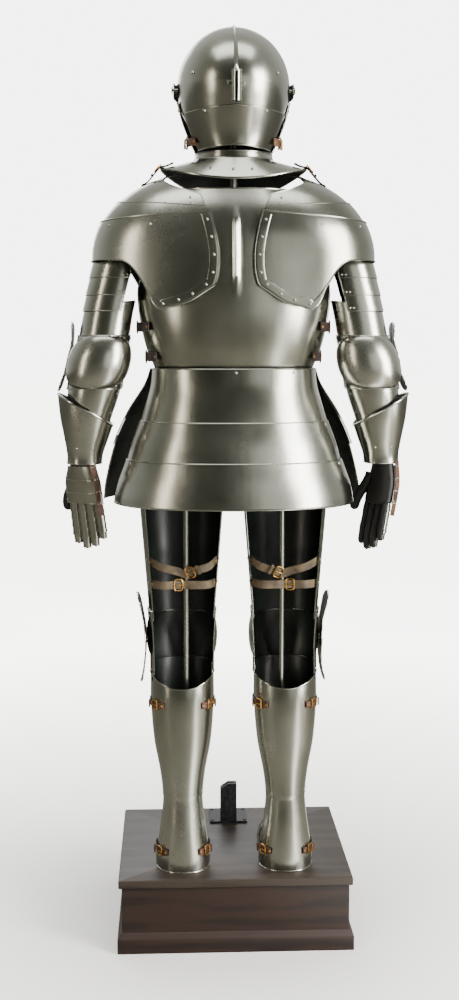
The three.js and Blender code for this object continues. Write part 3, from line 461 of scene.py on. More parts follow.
def tube_faces(rings: int, sides: int, loop: bool = False, caps: bool = True) -> Array:
    """Faces of a body made of rings of points.

    Args:
        rings: Number of rings.
        sides: Number of points in each ring.
        loop: Whether the last ring joins the first.
        caps: Whether a fan closes each end. Its middle points follow the rings' points, the start's first.

    Returns:
        The faces; a fan's triangle has its last point twice.
    """
    j, i = np.meshgrid(np.arange(rings if loop else rings - 1), np.arange(sides), indexing="ij")
    near, far = j * sides, ((j + 1) % rings) * sides
    after = (i + 1) % sides
    faces = np.stack([near + i, near + after, far + after, far + i], -1).reshape(-1, 4)
    if not caps:
        return faces
    ring = np.arange(sides)
    after = (ring + 1) % sides
    base = (rings - 1) * sides
    start = np.stack([np.full(sides, rings * sides), after, ring, ring], 1)
    end = np.stack([np.full(sides, rings * sides + 1), base + ring, base + after, base + after], 1)
    return np.concatenate([faces, start, end])


def tube(rings: Array, skin: Skin, middles: Sequence[Array], loop: bool = False) -> Patch:
    """A body of rings of points, its two ends closed round their middles unless it is a loop.

    Args:
        rings: Points by ring.
        skin: Skin of the faces.
        middles: Middle points of the start and of the end.
        loop: Whether the last ring joins the first.

    Returns:
        The body as a patch.
    """
    faces = tube_faces(*rings.shape[:2], loop, caps=not loop)
    points = rings.reshape(-1, 3)
    return Patch.of(points if loop else np.concatenate([points, middles]), faces, skin)


def sweep(path: Array, up: Array, profile: Array, skin: Skin = Skin.STEEL, loop: bool = False) -> Patch:
    """A closed profile carried along a path.

    Args:
        path: Points of the path.
        up: Direction or directions that the profile's second axis leans to.
        profile: Points of the profile: first across the path, then out of it, counted anticlockwise.
        skin: Skin of the faces.
        loop: Whether the path closes on itself; otherwise its two ends are capped.

    Returns:
        The bar as a patch: point + across * first + out * second.
    """
    _, out, across = frames(path, up, loop)
    rings = path[:, None] + across[:, None] * profile[None, :, :1] + out[:, None] * profile[None, :, 1:]
    return tube(rings, skin, [rings[0].mean(axis=0), rings[-1].mean(axis=0)], loop)


def circle(radius: float) -> Array:
    """Points of a circle."""
    t = turns(ROLL_SIDES)
    return radius * np.stack([np.cos(t), np.sin(t)], 1)


def soft_bar(width: float, thickness: float, ease_edge: float = 0.7) -> Array:
    """Profile of a flat bar with eased corners, its inner face on the path.

    Args:
        width: Its width.
        thickness: Its thickness.
        ease_edge: Size of the eased corners.

    Returns:
        Pairs of distance across and out.
    """
    w, t, e = width / 2, thickness, ease_edge
    corners = [[-w + e, 0], [w - e, 0], [w, e], [w, t - e], [w - e, t], [-w + e, t], [-w, t - e], [-w, e]]
    return np.array(corners)


def roll(
    surface: Surface, heart: Heart, radius: float, count: int, u: float | None = None, v: float | None = None
) -> Patch:
    """A rolled edge: a thin bar along the line of a surface where u or v has one value.

    Args:
        surface: Point for u and v.
        heart: For points of the line, the points that it looks away from.
        radius: Radius of the roll.
        count: Points along it.
        u: Value of u, where the line runs along v.
        v: Value of v, where the line runs along u.

    Returns:
        The roll as a patch.
    """
    t = np.linspace(0.0, 1.0, count)
    path = surface(t if u is None else np.full(count, u), t if v is None else np.full(count, v))
    return sweep(path, unit(path - heart(path)), circle(radius))


def square_to(axis: Array) -> tuple[Array, Array]:
    """Two unit directions, square to each axis and to each other.

    Args:
        axis: Unit directions.

    Returns:
        The first and the second direction.
    """
    helper = np.where(np.abs(axis[..., 2:]) < 0.9, [0.0, 0.0, 1.0], [1.0, 0.0, 0.0])
    first = unit(np.cross(helper, axis))
    return first, np.cross(axis, first)


def spokes(first: Array, second: Array, sides: int) -> Array:
    """Directions evenly round from the first to the second and on."""
    t = turns(sides)[:, None]
    return first[..., None, :] * np.cos(t) + second[..., None, :] * np.sin(t)


def domes(points: Array, normals: Array, radius: float, height: float, skin: Skin = Skin.STEEL) -> Patch:
    """Rivet heads: a low dome of a few rings set on each point along its normal.

    Args:
        points: Places of the rivets.
        normals: Directions of the rivets' axes.
        radius: Radius of a head.
        height: Height of a rivet's head.
        skin: Skin of the faces.

    Returns:
        All heads as one patch.
    """
    points, normals = np.atleast_2d(points), unit(np.atleast_2d(normals))
    flat = spokes(*square_to(normals), DOME_SIDES)
    rings = [
        points[:, None] + flat * radius * share + normals[:, None] * height * rise
        for share, rise in DOME_RINGS
    ]
    bottom = points + normals * height * DOME_RINGS[0][1]
    top = points + normals * height
    whole = np.concatenate([*rings, bottom[:, None], top[:, None]], axis=1)
    starts = np.arange(len(points)) * whole.shape[1]
    faces = tube_faces(len(DOME_RINGS), DOME_SIDES) + starts[:, None, None]
    return Patch.of(whole, faces.reshape(-1, 4), skin)


def studs(
    surface: Surface,
    heart: Heart,
    u: Sequence[float],
    v: Sequence[float] | float,
    radius: float,
    height: float,
) -> Patch:
    """Rivet heads at places of a surface, turned away from its heart."""
    spots = surface(*np.broadcast_arrays(np.array(u, float), np.array(v, float)))
    return domes(spots, unit(spots - heart(spots)), radius, height)


def lathe(profile: Sequence[tuple[float, float]], centre: Sequence[float], side: int) -> Patch:
    """A steel boss: a profile of (radius, height) turned round a level axis that points to one side.

    Args:
        profile: Pairs of radius and height, both ends on the axis.
        centre: Point of the axis at height 0.
        side: 1 for the left side, -1 for the right.

    Returns:
        The boss as a patch.
    """
    axis = np.array([side, 0.0, 0.0])
    rows = np.array(profile, float)
    flat = spokes(*square_to(axis), BOSS_SIDES)
    verts = np.array(centre, float) + rows[:, :1, None] * flat + rows[:, 1:, None] * axis
    return Patch.of(verts, tube_faces(len(rows), BOSS_SIDES, caps=False), Skin.STEEL)


def around(z: float) -> Heart:
    """A heart that is one point of the middle line, at a height."""
    return lambda p: np.zeros_like(p) + z * UPRIGHT


def linear(hexa: str, alpha: float = 1.0) -> tuple[float, float, float, float]:
    """A colour written as sRGB hex, turned to linear values.

    Args:
        hexa: Six hex digits.
        alpha: Opacity.

    Returns:
        Red, green, blue and opacity.
    """
    parts = [int(hexa[i:i + 2], 16) / 255 for i in (0, 2, 4)]
    made = [c / 12.92 if c <= 0.04045 else ((c + 0.055) / 1.055) ** 2.4 for c in parts]
    return made[0], made[1], made[2], alpha


# Finishes


class Tree:
    """A node tree in the making, for a material or for the world."""

    def __init__(self, owner: bpy.types.Material | bpy.types.World) -> None:
        """Starts from an empty tree.

        Args:
            owner: Material or world that gets the tree.
        """
        owner.use_nodes = True
        self.owner = owner
        self.tree = owner.node_tree
        self.tree.nodes.clear()

    def feed(self, node: bpy.types.Node, values: dict) -> None:
        """Gives inputs of a node, by name or number, a value or an output socket to read.

        Args:
            node: Node whose inputs are fed.
            values: Values or output sockets by input name or number.
        """
        for key, given in values.items():
            if isinstance(given, Socket):
                self.tree.links.new(given, node.inputs[key])
            else:
                node.inputs[key].default_value = given

    def node(self, kind: str, values: dict | None = None, **settings: object) -> bpy.types.Node:
        """Adds one node.

        Args:
            kind: Blender's name of its type, without ShaderNode in front.
            values: Values or output sockets by input name or number.
            settings: Values of its attributes.

        Returns:
            The new node.
        """
        made = self.tree.nodes.new(f"ShaderNode{kind}")
        for key, setting in settings.items():
            setattr(made, key, setting)
        self.feed(made, values or {})
        return made

    def ramp(self, stops: Sequence[tuple[float, str | float]], factor: Socket) -> Socket:
        """A colour ramp; a stop's value is an sRGB hex colour or a grey from 0 to 1.

        Args:
            stops: Pairs of place and value.
            factor: Socket that picks the place on the ramp.

        Returns:
            The ramp's colour.
        """
        made = self.node("ValToRGB", {"Fac": factor})
        bar = made.color_ramp
        while len(bar.elements) < len(stops):
            bar.elements.new(0.5)
        for element, (place, given) in zip(bar.elements, stops):
            element.position = place
            element.color = linear(given) if isinstance(given, str) else (given, given, given, 1.0)
        return made.outputs[0]

    def math(self, operation: str, *values: float | Socket) -> Socket:
        """Result of an arithmetic operation."""
        return self.node("Math", dict(enumerate(values)), operation=operation).outputs[0]

    def spread(
        self,
        given: Socket,
        low: float,
        high: float,
        start: float = 0.0,
        stop: float = 1.0,
        **settings: object,
    ) -> Socket:
        """A value from start to stop, turned to one from low to high."""
        values = {"Value": given, "From Min": start, "From Max": stop, "To Min": low, "To Max": high}
        return self.node("MapRange", values, **settings).outputs[0]

    def dimmed(self, share: float | Socket, first: Socket, second: Socket | tuple) -> Socket:
        """A colour multiplied by a second one to a share."""
        values = {0: share, 6: first, 7: second}
        return self.node("Mix", values, data_type="RGBA", blend_type="MULTIPLY").outputs[2]


class Coat(Tree):
    """A material with a Principled shader, and the Object coordinates to read."""

    def __init__(self, name: str) -> None:
        """Adds the shader, the output and the coordinates.

        Args:
            name: Its name.
        """
        super().__init__(bpy.data.materials.new(name))
        self.shader = self.node("BsdfPrincipled")
        self.node("OutputMaterial", {"Surface": self.shader.outputs["BSDF"]})
        self.coords = self.node("TexCoord").outputs["Object"]

    def noise(
        self, scale: float, detail: float, stretch: tuple[float, float, float] = (1.0, 1.0, 1.0)
    ) -> Socket:
        """Noise of a scale per metre, with the coordinates stretched first; gives its height from 0 to 1."""
        mapped = self.node("Mapping", {"Scale": stretch, "Vector": self.coords}).outputs[0]
        return self.node("TexNoise", {"Scale": scale, "Detail": detail, "Vector": mapped}).outputs["Fac"]

    def relief(self, height: Socket, strength: float, distance: float, under: Socket | None = None) -> Socket:
        """Normals of a relief from a height, distance in metres, on top of the normals under it."""
        values = {"Strength": strength, "Distance": distance, "Height": height}
        return self.node("Bump", values if under is None else {**values, "Normal": under}).outputs[0]

    def finish(self, values: dict) -> bpy.types.Material:
        """Feeds the shader and hands the material over."""
        self.feed(self.shader, values)
        return self.owner


@dataclass(frozen=True)
class SteelFinish:
    """Satin steel, rubbed round each part so that light runs up and down it."""

    low: str = "909085"
    high: str = "b2b2a8"
    dull: float = 0.27
    sharp: float = 0.2
    grain: float = 900.0

    def build(self) -> bpy.types.Material:
        """Metal with fine level rub lines, long upright waves of the hammer and cloudy wear.

        Returns:
            The material.
        """
        coat = Coat("satin_steel")
        clouds = coat.noise(7.0, 5.0, (1.0, 1.0, 0.7))
        lines = coat.noise(self.grain, 2.0, (0.05, 0.05, 1.0))
        waves = coat.noise(16.0, 2.0, (1.0, 1.0, 0.1))
        rough = coat.spread(clouds, self.sharp, self.dull, 0.3, 0.72)
        return coat.finish({
            "Base Color": coat.ramp(((0.3, self.low), (0.7, self.high)), clouds),
            "Roughness": coat.math("MULTIPLY_ADD", coat.noise(90.0, 4.0), 0.03, rough),
            "Metallic": 1.0,
            "Normal": coat.relief(lines, 0.2, 0.00005, coat.relief(waves, 0.5, 0.0016)),
        })


@dataclass(frozen=True)
class InsideFinish:
    """Black lacquer on the hidden faces of the plates."""

    dark: str = "070b09"
    light: str = "141c18"

    def build(self) -> bpy.types.Material:
        """Satin black with a green cast and hammer marks.

        Returns:
            The material.
        """
        coat = Coat("black_lacquer")
        clouds = coat.noise(14.0, 4.0)
        return coat.finish({
            "Base Color": coat.ramp(((0.35, self.dark), (0.75, self.light)), clouds),
            "Roughness": coat.spread(clouds, 0.26, 0.46),
            "Normal": coat.relief(coat.noise(60.0, 2.0), 0.3, 0.0006),
        })


@dataclass(frozen=True)
class LeatherFinish:
    """Grained leather."""

    name: str
    dark: str
    light: str
    rough: float
    pore: float = 900.0

    def build(self) -> bpy.types.Material:
        """Pored leather with creases and rubbed high spots.

        Returns:
            The material.
        """
        coat = Coat(self.name)
        clouds = coat.noise(45.0, 5.0)
        pores = coat.node("TexVoronoi", {"Scale": self.pore, "Vector": coat.coords}).outputs["Distance"]
        tint = coat.ramp(((0.3, self.dark), (0.72, self.light)), clouds)
        return coat.finish({
            "Base Color": coat.dimmed(0.25, tint, coat.ramp(((0.0, 0.35), (0.35, 1.0)), pores)),
            "Roughness": coat.spread(clouds, self.rough - 0.1, self.rough + 0.12),
            "Normal": coat.relief(coat.math("MULTIPLY_ADD", clouds, 2.2, pores), 0.55, 0.00035),
        })


@dataclass(frozen=True)
class MetalFinish:
    """Cast or painted metal."""

    name: str
    dark: str
    light: str
    rough: float
    metal: float

    def build(self) -> bpy.types.Material:
        """Cloudy tint with a fine casting grain.

        Returns:
            The material.
        """
        coat = Coat(self.name)
        clouds = coat.noise(120.0, 4.0)
        return coat.finish({
            "Base Color": coat.ramp(((0.35, self.dark), (0.7, self.light)), clouds),
            "Roughness": coat.spread(clouds, self.rough - 0.08, self.rough + 0.14),
            "Metallic": self.metal,
            "Normal": coat.relief(coat.noise(1500.0, 2.0), 0.25, 0.0001),
        })


@dataclass(frozen=True)
class WoodFinish:
    """Dark varnished walnut, its grain along the plinth's width."""

    name: str
    dark: str
    middle: str
    light: str
    rough: float

    def build(self) -> bpy.types.Material:
        """Long fibres and broad bands under satin varnish.

        Returns:
            The material.
        """
        coat = Coat(self.name)
        fibres = coat.noise(160.0, 5.0, (0.06, 1.0, 1.0))
        turned = {"Scale": (0.16, 1.0, 1.0), "Rotation": (0.6, 0.0, 0.0), "Vector": coat.coords}
        place = coat.node("Mapping", turned).outputs[0]
        wave = {"Vector": place, "Scale": 9.0, "Distortion": 7.0, "Detail": 4.0, "Detail Scale": 1.6}
        bands = coat.node("TexWave", wave, wave_type="BANDS", bands_direction="Z").outputs["Fac"]
        broad = coat.math("MULTIPLY_ADD", bands, 0.35, coat.noise(5.0, 3.0, (0.6, 1.0, 1.0)))
        blend = coat.math("MULTIPLY_ADD", fibres, 0.45, broad)
        return coat.finish({
            "Base Color": coat.ramp(((0.45, self.dark), (0.82, self.middle), (1.0, self.light)), blend),
            "Roughness": coat.spread(fibres, self.rough - 0.06, self.rough + 0.12),
            "Coat Weight": 0.08,
            "Coat Roughness": 0.25,
            "Normal": coat.relief(fibres, 0.2, 0.0004),
        })


FINISHES = {
    Skin.STEEL: ("steel", SteelFinish()),
    Skin.INSIDE: ("steel", InsideFinish()),
    Skin.STRAP: ("strap_leather", LeatherFinish("brown_strap_leather", "36221a", "694631", 0.55)),
    Skin.HARNESS: ("strap_leather", LeatherFinish("dark_harness_leather", "120b07", "35221a", 0.5)),
    Skin.TAN: ("strap_leather", LeatherFinish("tan_strap_leather", "352b1e", "6b5b42", 0.62)),
    Skin.GLOVE: ("glove_leather", LeatherFinish("black_glove_leather", "070707", "1d1b1a", 0.55)),
    Skin.BRASS: ("steel", MetalFinish("old_brass", "9a7036", "cfa45c", 0.3, 1.0)),
    Skin.IRON: ("iron", MetalFinish("dark_iron", "151516", "303134", 0.5, 0.6)),
    # One walnut in two tones: the sides darker as painted shade, the top board lighter as painted sheen.
    Skin.WOOD: ("wood", WoodFinish("walnut_sides", "120a07", "1e110c", "2b1a13", 0.5)),
    Skin.BOARD: ("wood", WoodFinish("walnut_top", "1a130f", "261d17", "33291f", 0.5)),
}


class Workshop:
    """Holds the materials and turns patches into finished pieces."""

    def __init__(self) -> None:
        """Makes each finish once."""
        self.materials = {skin: finish.build() for skin, (_, finish) in FINISHES.items()}
        self.made = 0

    def piece(
        self,
        name: str,
        patches: Sequence[Patch],
        *nodes: str,
        body: str = "root",
        offset_y: float = SUIT_Y,
    ) -> None:
        """Joins patches into one object that rides on a body.

        Args:
            name: Name of the piece.
            patches: Parts of its mesh, in millimetres.
            nodes: Solid parts that this piece stands for.
            body: Body that it moves with.
            offset_y: Distance by which the suit is moved back on its plinth.
        """
        starts = np.cumsum([0] + [len(p.verts) for p in patches])
        verts = np.concatenate([p.verts for p in patches]) + np.array([0.0, offset_y, 0.0])
        faces = np.concatenate([p.faces + start for p, start in zip(patches, starts)])
        names = np.concatenate([p.skins for p in patches])
        skins = [skin for skin in Skin if (names == skin.value).any()]
        mesh = bpy.data.meshes.new(name)
        three = faces[:, 2] == faces[:, 3]
        sizes = np.where(three, 3, 4)
        loops = faces.ravel()[(np.arange(4)[None, :] < sizes[:, None]).ravel()]
        mesh.vertices.add(len(verts))
        mesh.vertices.foreach_set("co", (verts * MM).astype(np.float32).ravel())
        mesh.loops.add(len(loops))
        mesh.loops.foreach_set("vertex_index", loops.astype(np.int32))
        mesh.polygons.add(len(faces))
        mesh.polygons.foreach_set("loop_start", np.concatenate([[0], np.cumsum(sizes)[:-1]]).astype(np.int32))
        places = {skin.value: k for k, skin in enumerate(skins)}
        mesh.polygons.foreach_set("material_index", np.array([places[n] for n in names], dtype=np.int32))
        for skin in skins:
            mesh.materials.append(self.materials[skin])
        mesh.update(calc_edges=True)
        welded = bmesh.new()
        welded.from_mesh(mesh)
        bmesh.ops.remove_doubles(welded, verts=welded.verts, dist=WELD)
        bmesh.ops.dissolve_degenerate(welded, edges=welded.edges, dist=SLIVER)
        welded.to_mesh(mesh)
        welded.free()
        mesh.polygons.foreach_set("use_smooth", np.ones(len(mesh.polygons), dtype=bool))
        mesh.set_sharp_from_angle(angle=math.radians(SHARP))
        mesh.update()
        made = bpy.data.objects.new(name, mesh)
        bpy.context.scene.collection.objects.link(made)
        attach(made, body)
        if nodes:
            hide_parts(*nodes)
        self.made += 1
        log.info("%s: %d faces", name, len(mesh.polygons))

    def finish_node(self, node: str, skin: Skin) -> None:
        """Gives a solid part that is shown as it is one of the finishes.

        Args:
            node: Name of the solid part.
            skin: Finish that it gets.
        """
        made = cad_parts[node]
        made.data.materials.clear()
        made.data.materials.append(self.materials[skin])
        log.info("%s keeps its own form", node)


# Plates and what is fixed to them


def value(edge: Edge, at: Array) -> Array:
    """An edge given as a number or as a function."""
    return edge(at) if callable(edge) else np.full_like(np.asarray(at, float), edge)


@dataclass(frozen=True)
class Plate:
    """A plate over a table of sections, between two angles and two edge heights."""

    rows: Sections
    start: Edge
    end: Edge
    top: Edge
    bottom: Edge
    lift: float | Callable[[Array, Array], Array] = 0.0
    side: int = 1
    closed: bool = False

    def spot(self, angle: Array, z: Array) -> Array:
        """Point of the plate at an angle and a height."""
        lift = self.lift(angle, z) if callable(self.lift) else self.lift
        return self.rows.point(angle, z, lift, self.side)

    def point(self, u: Array, v: Array) -> Array:
        """Point of the outer face: u runs between the angles, v from the top edge down.

        Args:
            u: Values of u, from 0 to 1.
            v: Values of v, from 0 to 1.

        Returns:
            Points of the outer face.
        """
        angle = mix(value(self.start, v), value(self.end, v), u)
        z = mix(value(self.top, angle), value(self.bottom, angle), v)
        return self.spot(angle, z)

    def heart(self, p: Array) -> Array:
        """Centre of the section at a point's height."""
        z = p[..., 2]
        return stack(self.rows.column("x", z) * self.side, self.rows.column("y", z), z)

    def dressed(
        self, across: Grid, down: Grid, rolls: float | dict[str, float], steps: int = 60
    ) -> list[Patch]:
        """The plate as a thin wall, with its rolled edges.

        Args:
            across: Steps or grid values from the start edge to the end edge.
            down: Steps or grid values from the top edge to the bottom edge.
            rolls: Radius by name of the edge, or one radius for all four edges.
            steps: Steps along each roll.

        Returns:
            The wall and the rolls.
        """
        radii = rolls if isinstance(rolls, dict) else dict.fromkeys(EDGES, rolls)
        wall = shell(self.point, across, down, self.heart, closed=self.closed)
        return [wall, *(self.bead(edge, radius, steps) for edge, radius in radii.items())]

    def out(self, u: Array, v: Array) -> Array:
        """Outward normals of the plate.

        Args:
            u: Values of u, from 0 to 1.
            v: Values of v, from 0 to 1.

        Returns:
            Unit normals.
        """
        p = self.point(u, v)
        n = differences(self.point, u, v, self.closed)
        side = np.sign(np.sum(n * (p - self.heart(p)), axis=-1, keepdims=True))
        return n * np.where(side == 0, 1, side)

    def bead(self, edge: str, radius: float, steps: int = 60, sink: float = 0.6) -> Patch:
        """A rolled edge: a thin bar along the top, bottom, start or end edge.

        Args:
            edge: Name of the edge.
            radius: Radius of the roll.
            steps: Points along it.
            sink: Distance that its middle lies under the outer face.

        Returns:
            The roll as a patch.
        """
        t = np.linspace(0.0, 1.0, steps + 1)
        if self.closed:
            t = t[:-1]
        flat = {"top": 0.0, "bottom": 1.0, "start": 0.0, "end": 1.0}[edge]
        other = np.full_like(t, flat)
        u, v = (t, other) if edge in ("top", "bottom") else (other, t)
        normal = self.out(u, v)
        return sweep(self.point(u, v) - normal * sink, normal, circle(radius), Skin.STEEL, self.closed)

    def rivets(
        self, places: Sequence[tuple[float, float]], radius: float = 3.6, height: float = 2.2
    ) -> Patch:
        """Rivet heads at pairs of angle and height.

        Args:
            places: Pairs of angle and height.
            radius: Radius of a head.
            height: Height of a rivet's head.

        Returns:
            All heads as one patch.
        """
        angle, z = np.array(places, float).T
        p = self.spot(angle, z)
        step = 0.5
        du = self.spot(angle + step, z) - self.spot(angle - step, z)
        dv = self.spot(angle, z - step) - self.spot(angle, z + step)
        n = unit(np.cross(du, dv))
        n *= np.where(np.sum(n * (p - self.heart(p)), axis=-1, keepdims=True) < 0, -1, 1)
        return domes(p - 0.2 * n, n, radius, height)


def smooth_path(points: Sequence[Sequence[float]], count: int) -> Array:
    """Points evenly spaced on a Catmull-Rom curve through the given points.

    Args:
        points: Points that it goes through.
        count: Number of points made.

    Returns:
        Points of the path.
    """
    given = np.array(points, float)
    ends = np.concatenate([[2 * given[0] - given[1]], given, [2 * given[-1] - given[-2]]])
    t = np.linspace(0, len(given) - 1, count * 8)
    i = np.minimum(t.astype(int), len(given) - 2)
    f = (t - i)[:, None]
    a, b, c, d = ends[i], ends[i + 1], ends[i + 2], ends[i + 3]
    fine = 0.5 * (2 * b + (c - a) * f + (2 * a - 5 * b + 4 * c - d) * f**2 + (3 * b - a - 3 * c + d) * f**3)
    run = np.concatenate([[0.0], np.cumsum(np.linalg.norm(np.diff(fine, axis=0), axis=1))])
    even = np.linspace(0, run[-1], count)
    return np.stack([np.interp(even, run, fine[:, k]) for k in range(3)], 1)


@dataclass(frozen=True)
class Strap:
    """A leather strap along a path, with its buckle and rivets."""

    path: Array
    heart: Array
    width: float = 18.0
    thickness: float = 2.0
    buckle: float | None = None
    rivets: tuple[float, ...] = (0.04, 0.96)
    skin: Skin = Skin.STRAP

    def out(self) -> Array:
        """Directions away from the heart along the path."""
        return unit(self.path - self.heart)

    def place(self, share: float) -> tuple[Array, Array, Array, Array]:
        """Point and along, out and across directions at a share of the path.

        Args:
            share: Share of the path.

        Returns:
            The point, and the directions along, out and across.
        """
        along, out, across = frames(self.path, self.out(), False)
        k = int(round(share * (len(self.path) - 1)))
        return self.path[k], along[k], out[k], across[k]

    def build(self) -> list[Patch]:
        """The strap, a brass buckle with its tongue and keeper, and rivet heads.

        Returns:
            The parts of its mesh.
        """
        profile = soft_bar(self.width, self.thickness)
        profile[:, 1] -= self.thickness
        patches = [sweep(self.path, self.out(), profile, self.skin)]
        for share in self.rivets:
            p, _, out, _ = self.place(share)
            patches.append(domes(p, out, 2.6, 1.7, Skin.BRASS))
        if self.buckle is not None:
            patches += self.fittings(self.buckle)
        return patches

    def fittings(self, share: float) -> list[Patch]:
        """Buckle frame, tongue and keeper at a share of the path.

        Args:
            share: Share of the path.

        Returns:
            The parts of its mesh.
        """
        p, along, out, across = self.place(share)
        w, h = self.width / 2 + 3.2, 9.0
        t = turns(32)
        x, y = w * bent(np.cos(t), 0.5), h * bent(np.sin(t), 0.5)
        arch = 1.6 - 1.2 * (x / w) ** 2
        ring = p + across * x[:, None] + along * y[:, None] + out * arch[:, None]
        reach = np.linspace(-h, h + 1.5, 9)
        rise = 1.6 + 0.9 * np.sin(np.linspace(0, math.pi, 9))
        tongue = p + along * reach[:, None] + out * rise[:, None]
        wide = np.linspace(-w + 1.5, w - 1.5, 11)
        bow = 1.1 - 1.6 * (np.abs(wide) / w) ** 6
        keeper = p + along * (h + 9) + across * wide[:, None] + out * bow[:, None]
        return [
            sweep(ring, out, circle(1.5), Skin.BRASS, loop=True),
            sweep(tongue, out, circle(1.1), Skin.BRASS),
            sweep(keeper, out, soft_bar(5.5, 1.3, 0.4), self.skin),
        ]


# The helmet


@dataclass
class Helmet:
    """Close helmet: skull with comb, nape plate, bevor, pivoting visor, plume holder and chin straps."""

    crown_z: float = 1821.0
    wide: float = 117.0
    back: float = 121.0
    front: float = 124.0
    cover: float = 130.0
    height: float = 123.0
    comb: float = 5.0
    neck_z: float = 1696.0
    brow: float = 0.2
    pivot_z: float = 1818.0
    radius: float = 134.0
    half: float = 125.0
    roll: float = 24.0
    arm: float = 15.0
    snout: float = 26.0
    reach: float = 98.0

    def skull_point(self, u: Array, v: Array) -> Array:
        """Ellipsoid above the crown height, helmet sections under it, and a low comb in the middle.

        Args:
            u: Values of u, from 0 to 1.
            v: Values of v, from 0 to 1.

        Returns:
            Points of the outer face.
        """
        w = mix(-1.0, 1.0, v)
        fall = ease(-w * 1.5)
        edge = np.where(w >= 0, mix(-14.0, -40.0, np.clip(w / self.brow, 0, 1)), mix(-14.0, 14.0, fall))
        scale = np.where(w >= self.brow, 1.0, (90 - edge) / self.cover)
        away = (u - 0.5) * 360
        inside = np.abs(away) <= self.cover + 0.01
        angle = 90 + away * np.where(inside, scale, 1.0)
        near = np.minimum(np.abs(away), 180 - np.abs(away))
        comb = self.comb * np.clip(1 - near / 2.4, 0, 1) ** 0.75 * ease((w - 0.05) / 0.12)
        comb = np.where(w > 0.93, mix(comb, self.comb, ease((w - 0.93) / 0.07)), comb)
        sphere = w >= 0
        turn = np.clip(w, 0, 1) * math.pi / 2
        reach, rise = np.cos(turn), np.sin(turn)
        c, s = cos_sin(angle)
        depth = np.where(s > 0, self.back, self.front)
        lift = np.where(np.clip(w, 0, 1) < 1, comb, self.comb)
        x, y = (self.wide + lift) * c * reach, (depth + lift) * s * reach
        top = stack(x, y, self.crown_z + (self.height + lift) * rise)
        z = self.crown_z + (self.crown_z - self.neck_z) * np.minimum(w, 0)
        low = HELM.point(angle, z, comb)
        return np.where(sphere[..., None], top, low)

    def skull(self) -> list[Patch]:
        """Skull wall, the pins that carry the visor, and its rivets.

        Returns:
            The parts of its mesh.
        """
        first = 0.5 - self.cover / 360
        comb = [0.5 + k / 360 for k in (-2.4, -1.6, -0.8, 0, 0.8, 1.6, 2.4)]
        front = [k / 360 for k in (0.8, 1.6, 2.4)]
        us = spaced(104, first, 1 - first, *comb, *front, *[1 - k for k in front], near=0.002)
        vs = spaced(76, (self.brow + 1) / 2, near=0.004)

        def keep(u: Array, v: Array) -> Array:
            """Cells above the brow, or behind the side edges."""
            return (mix(-1, 1, v) > self.brow) | (np.abs(u - 0.5) * 360 < self.cover)

        def heart(p: Array) -> Array:
            """Middle of the skull."""
            return np.zeros_like(p) + np.array([0.0, 0.0, self.crown_z])

        patches = [shell(self.skull_point, us, vs, around(self.crown_z), closed=True, keep=keep)]
        pin = ((0, 0), (3, 0), (3, 10.6), (8, 10.8), (8.2, 11.6), (6.6, 13.0), (3.0, 13.8), (0, 14.0))
        for _, side in SIDES:
            patches.append(lathe(pin, (side * 115.6, 0, self.pivot_z), side))
            seat = HELM.point(np.array([42.5]), 1839.0, side=side)
            patches.append(domes(seat, seat * LEVEL, 3.4, 2.2))
        v = (np.linspace(-0.999, 0.999 * self.brow, 50) + 1) / 2
        for turn in (first, 1 - first):
            path = self.skull_point(np.full_like(v, turn), v)
            patches.append(sweep(path, unit(path * LEVEL), circle(1.5)))
        return patches

    def visor_point(self, u: Array, v: Array) -> Array:
        """Band about the pivot axis: an arc that bulges forward to a snout and narrows to the pivots.

        Args:
            u: Values of u, from 0 to 1.
            v: Values of v, from 0 to 1.

        Returns:
            Points of the outer face.
        """
        turn = np.radians(mix(-self.reach, self.reach, u))
        across = mix(-1.0, 1.0, v)
        reach = self.radius * np.cos(turn)
        roll = np.radians(across * self.roll)
        away = np.abs(np.degrees(turn))
        blend = ease((away - 62) / 14)
        behind = np.clip((away - 84) / 14, 0, 1)
        height = self.arm * np.sqrt(np.maximum(1 - behind * behind, 0.02))
        flat = np.where(away > 84, height, np.maximum(self.arm, reach * math.sin(math.radians(self.roll))))
        forward = mix(reach * np.cos(roll), reach, blend)
        up = mix(reach * np.sin(roll), across * flat, blend)
        far = np.minimum(np.hypot(forward, up), self.radius)
        x = np.sign(turn) * self.half * np.sqrt(np.maximum(1 - (far / self.radius) ** 2, 0))
        peak = np.exp(-((x / 52) ** 2)) * np.exp(-(((across + 0.35) / 0.5) ** 2))
        grow = 1 + self.snout * peak / np.maximum(far, 60)
        return stack(x, -forward * grow, self.pivot_z + up * grow)

    def visor(self) -> list[Patch]:
        """Visor wall with two sights, rows of breaths in the snout and rolled edges.

        Returns:
            The parts of its mesh.
        """
        ends = [math.degrees(math.asin(x / self.half)) for x in (-66, -14, 14, 66)]
        marks = [(end + self.reach) / (2 * self.reach) for end in ends]
        breaths = [0.5 + side * (0.052 + 0.02 * k) for side in (-1, 1) for k in range(4)]
        slits = [b + d for b in breaths for d in (-0.004, 0.004)]
        us = spaced(110, *marks, *slits, near=0.003)
        rows = [0.16, 0.30, 0.36, 0.50, 0.68, 0.78]
        vs = spaced(50, *rows, near=0.008)

        def keep(u: Array, v: Array) -> Array:
            """Cells outside the sights and the breaths.

            Args:
                u: Values of u, from 0 to 1.
                v: Values of v, from 0 to 1.

            Returns:
                True for each cell that belongs to the wall.
            """
            sight = ((u > marks[0]) & (u < marks[1])) | ((u > marks[2]) & (u < marks[3]))
            slit = (np.abs(u[..., None] - np.array(breaths)) < 0.004).any(axis=-1)
            row = ((v > rows[0]) & (v < rows[1])) | ((v > rows[2]) & (v < rows[3]))
            return ~(sight & (v > rows[4]) & (v < rows[5])) & ~(slit & row)

